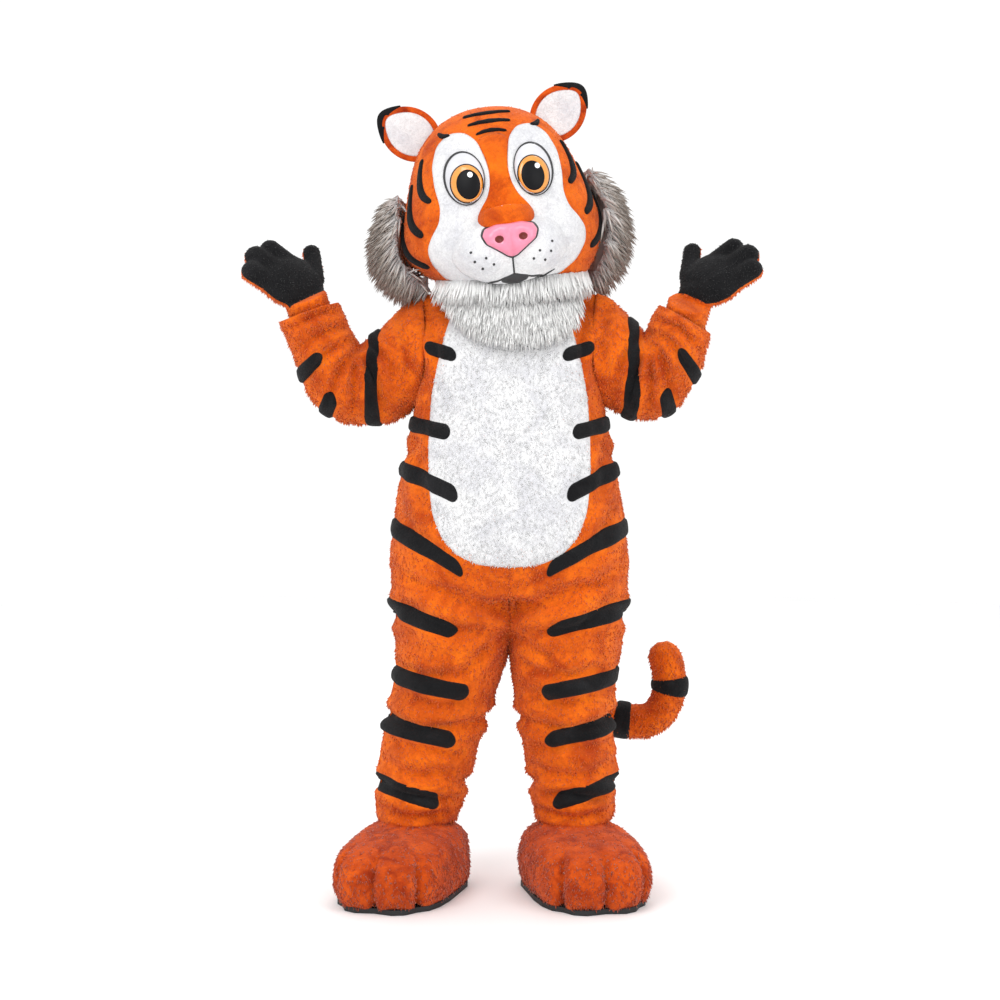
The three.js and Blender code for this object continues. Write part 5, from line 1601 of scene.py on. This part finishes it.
# A fringe along the head's lower rim hangs over the neck and hides the gap there.
rng = np.random.default_rng(17)
rim_roots, rim_ways = [], []
for turn in rng.uniform(-72, 72, 1500):
    a = math.radians(turn)
    way = Vector((math.sin(a), -math.cos(a), 0))
    base = Vector((0, 0, rng.uniform(0.000, 0.011)))
    point, normal = cast_on(head_bvh, base + way * 0.6, -way)
    rim_roots.append(HEAD @ (point + way * 0.003))
    rim_ways.append(np.array(way) * 0.22 + np.array([0, -0.03, -1.0]) + rng.normal(0, 0.14, 3))
lengths = rng.uniform(0.022, 0.062, len(rim_roots))
tufts(
    "chin_fringe", np.array(rim_roots), np.array(rim_ways), lengths, lengths * 0.10, WHITE_FUR,
    18, 0.05, 3
)

# ---------------------------------------------------------------- pile
NAP = 0.0075
trims = bvh_of(*[
    {
        "points": np.array([v.co[:] for v in t.data.vertices]),
        "faces": [tuple(p.vertices) for p in t.data.polygons]
    }
    for t in black_trims
])
for k, name in enumerate(SUIT):
    nap(name + "_pile", skins[name]["piece"], 13000, NAP, ORANGE_PILE, 40 + k, trims=trims)
for k, name in enumerate(SLEEVES):
    nap(name + "_pile", skins[name]["piece"], 9000, NAP, ORANGE_PILE, 50 + k, trims=trims)
nap(
    "belly_pile", belly, 9000, 0.0060, WHITE_PILE, 60, keep=lambda c,
    n: np.clip(-n[:, 1], 0, 1), trims=trims
)
nap("head_pile", head_piece, 9000, 0.0055, ORANGE_PILE, 61, trims=trims)
for k, side in enumerate(SIDES):
    nap(
        f"boot_{side}_pile", skins[f"boot_{side}"]["piece"], 7000, NAP, DEEP_PILE,
        70 + k, trims=trims
    )
    nap(
        f"glove_back_{side}_pile", skins[f"glove_back_{side}"]["piece"], 2500, 0.006, ORANGE_PILE,
        80 + k, trims=trims
    )
    nap(
        f"glove_palm_{side}_pile", skins[f"glove_palm_{side}"]["piece"], 2500, 0.005, BLACK_PILE,
        90 + k, trims=trims
    )
nap("tail_pile", tail, 5000, NAP, ORANGE_PILE, 100, trims=trims)

# ---------------------------------------------------------------- floor, lights and camera
bpy.ops.object.select_all(action="DESELECT")
bpy.ops.mesh.primitive_circle_add(vertices=96, radius=7, fill_type="NGON", location=(0, 0, FLOOR - 0.0005))
floor = bpy.context.object
floor.name = "floor"
bpy.ops.object.transform_apply(location=True)
floor_material, nodes, links, shader = new_material("studio_floor")
place = nodes.new("ShaderNodeTexCoord").outputs["Object"]
speckle = noise_node(nodes, links, place, 3, 2)
floor_tones = ramp_node(nodes, [(0.3, (0.90, 0.90, 0.90)), (0.7, (0.92, 0.92, 0.92))])
links.new(speckle.outputs["Fac"], floor_tones.inputs["Fac"])
links.new(floor_tones.outputs["Color"], shader.inputs["Base Color"])
shader.inputs["Roughness"].default_value = 0.9
floor.data.materials.append(floor_material)

world = bpy.data.worlds.new("studio")
bpy.context.scene.world = world
world.use_nodes = True
world.node_tree.nodes["Background"].inputs["Color"].default_value = (1, 1, 1, 1)
world.node_tree.nodes["Background"].inputs["Strength"].default_value = 1.06
bpy.context.scene.view_settings.view_transform = "Standard"

LAMPS = [
    ("key", (-2.2, -3.6, 2.6), 2.6, 95),
    ("fill", (2.8, -3.0, 1.2), 2.6, 45),
    ("back", (0.5, 3.0, 2.8), 2.4, 50),
]
for name, location, size, power in LAMPS:
    light = bpy.data.lights.new(name, "AREA")
    light.size = size
    light.energy = power
    lamp = bpy.data.objects.new(name, light)
    lamp.location = location
    lamp.rotation_euler = (Vector((0, 0, -0.45)) - lamp.location).to_track_quat("-Z", "Y").to_euler()
    bpy.context.scene.collection.objects.link(lamp)

camera_data = bpy.data.cameras.new("camera")
camera_data.lens = 75
camera_data.sensor_width = 36
camera_data.shift_y = -0.115
camera = bpy.data.objects.new("camera", camera_data)
camera.location = (-0.022, -5.0, FLOOR + 1.2)
camera.rotation_euler = (math.pi / 2, 0, 0)
bpy.context.scene.collection.objects.link(camera)
bpy.context.scene.camera = camera


def plain(bounds):
    return [[float(x) for x in corner] for corner in bounds]
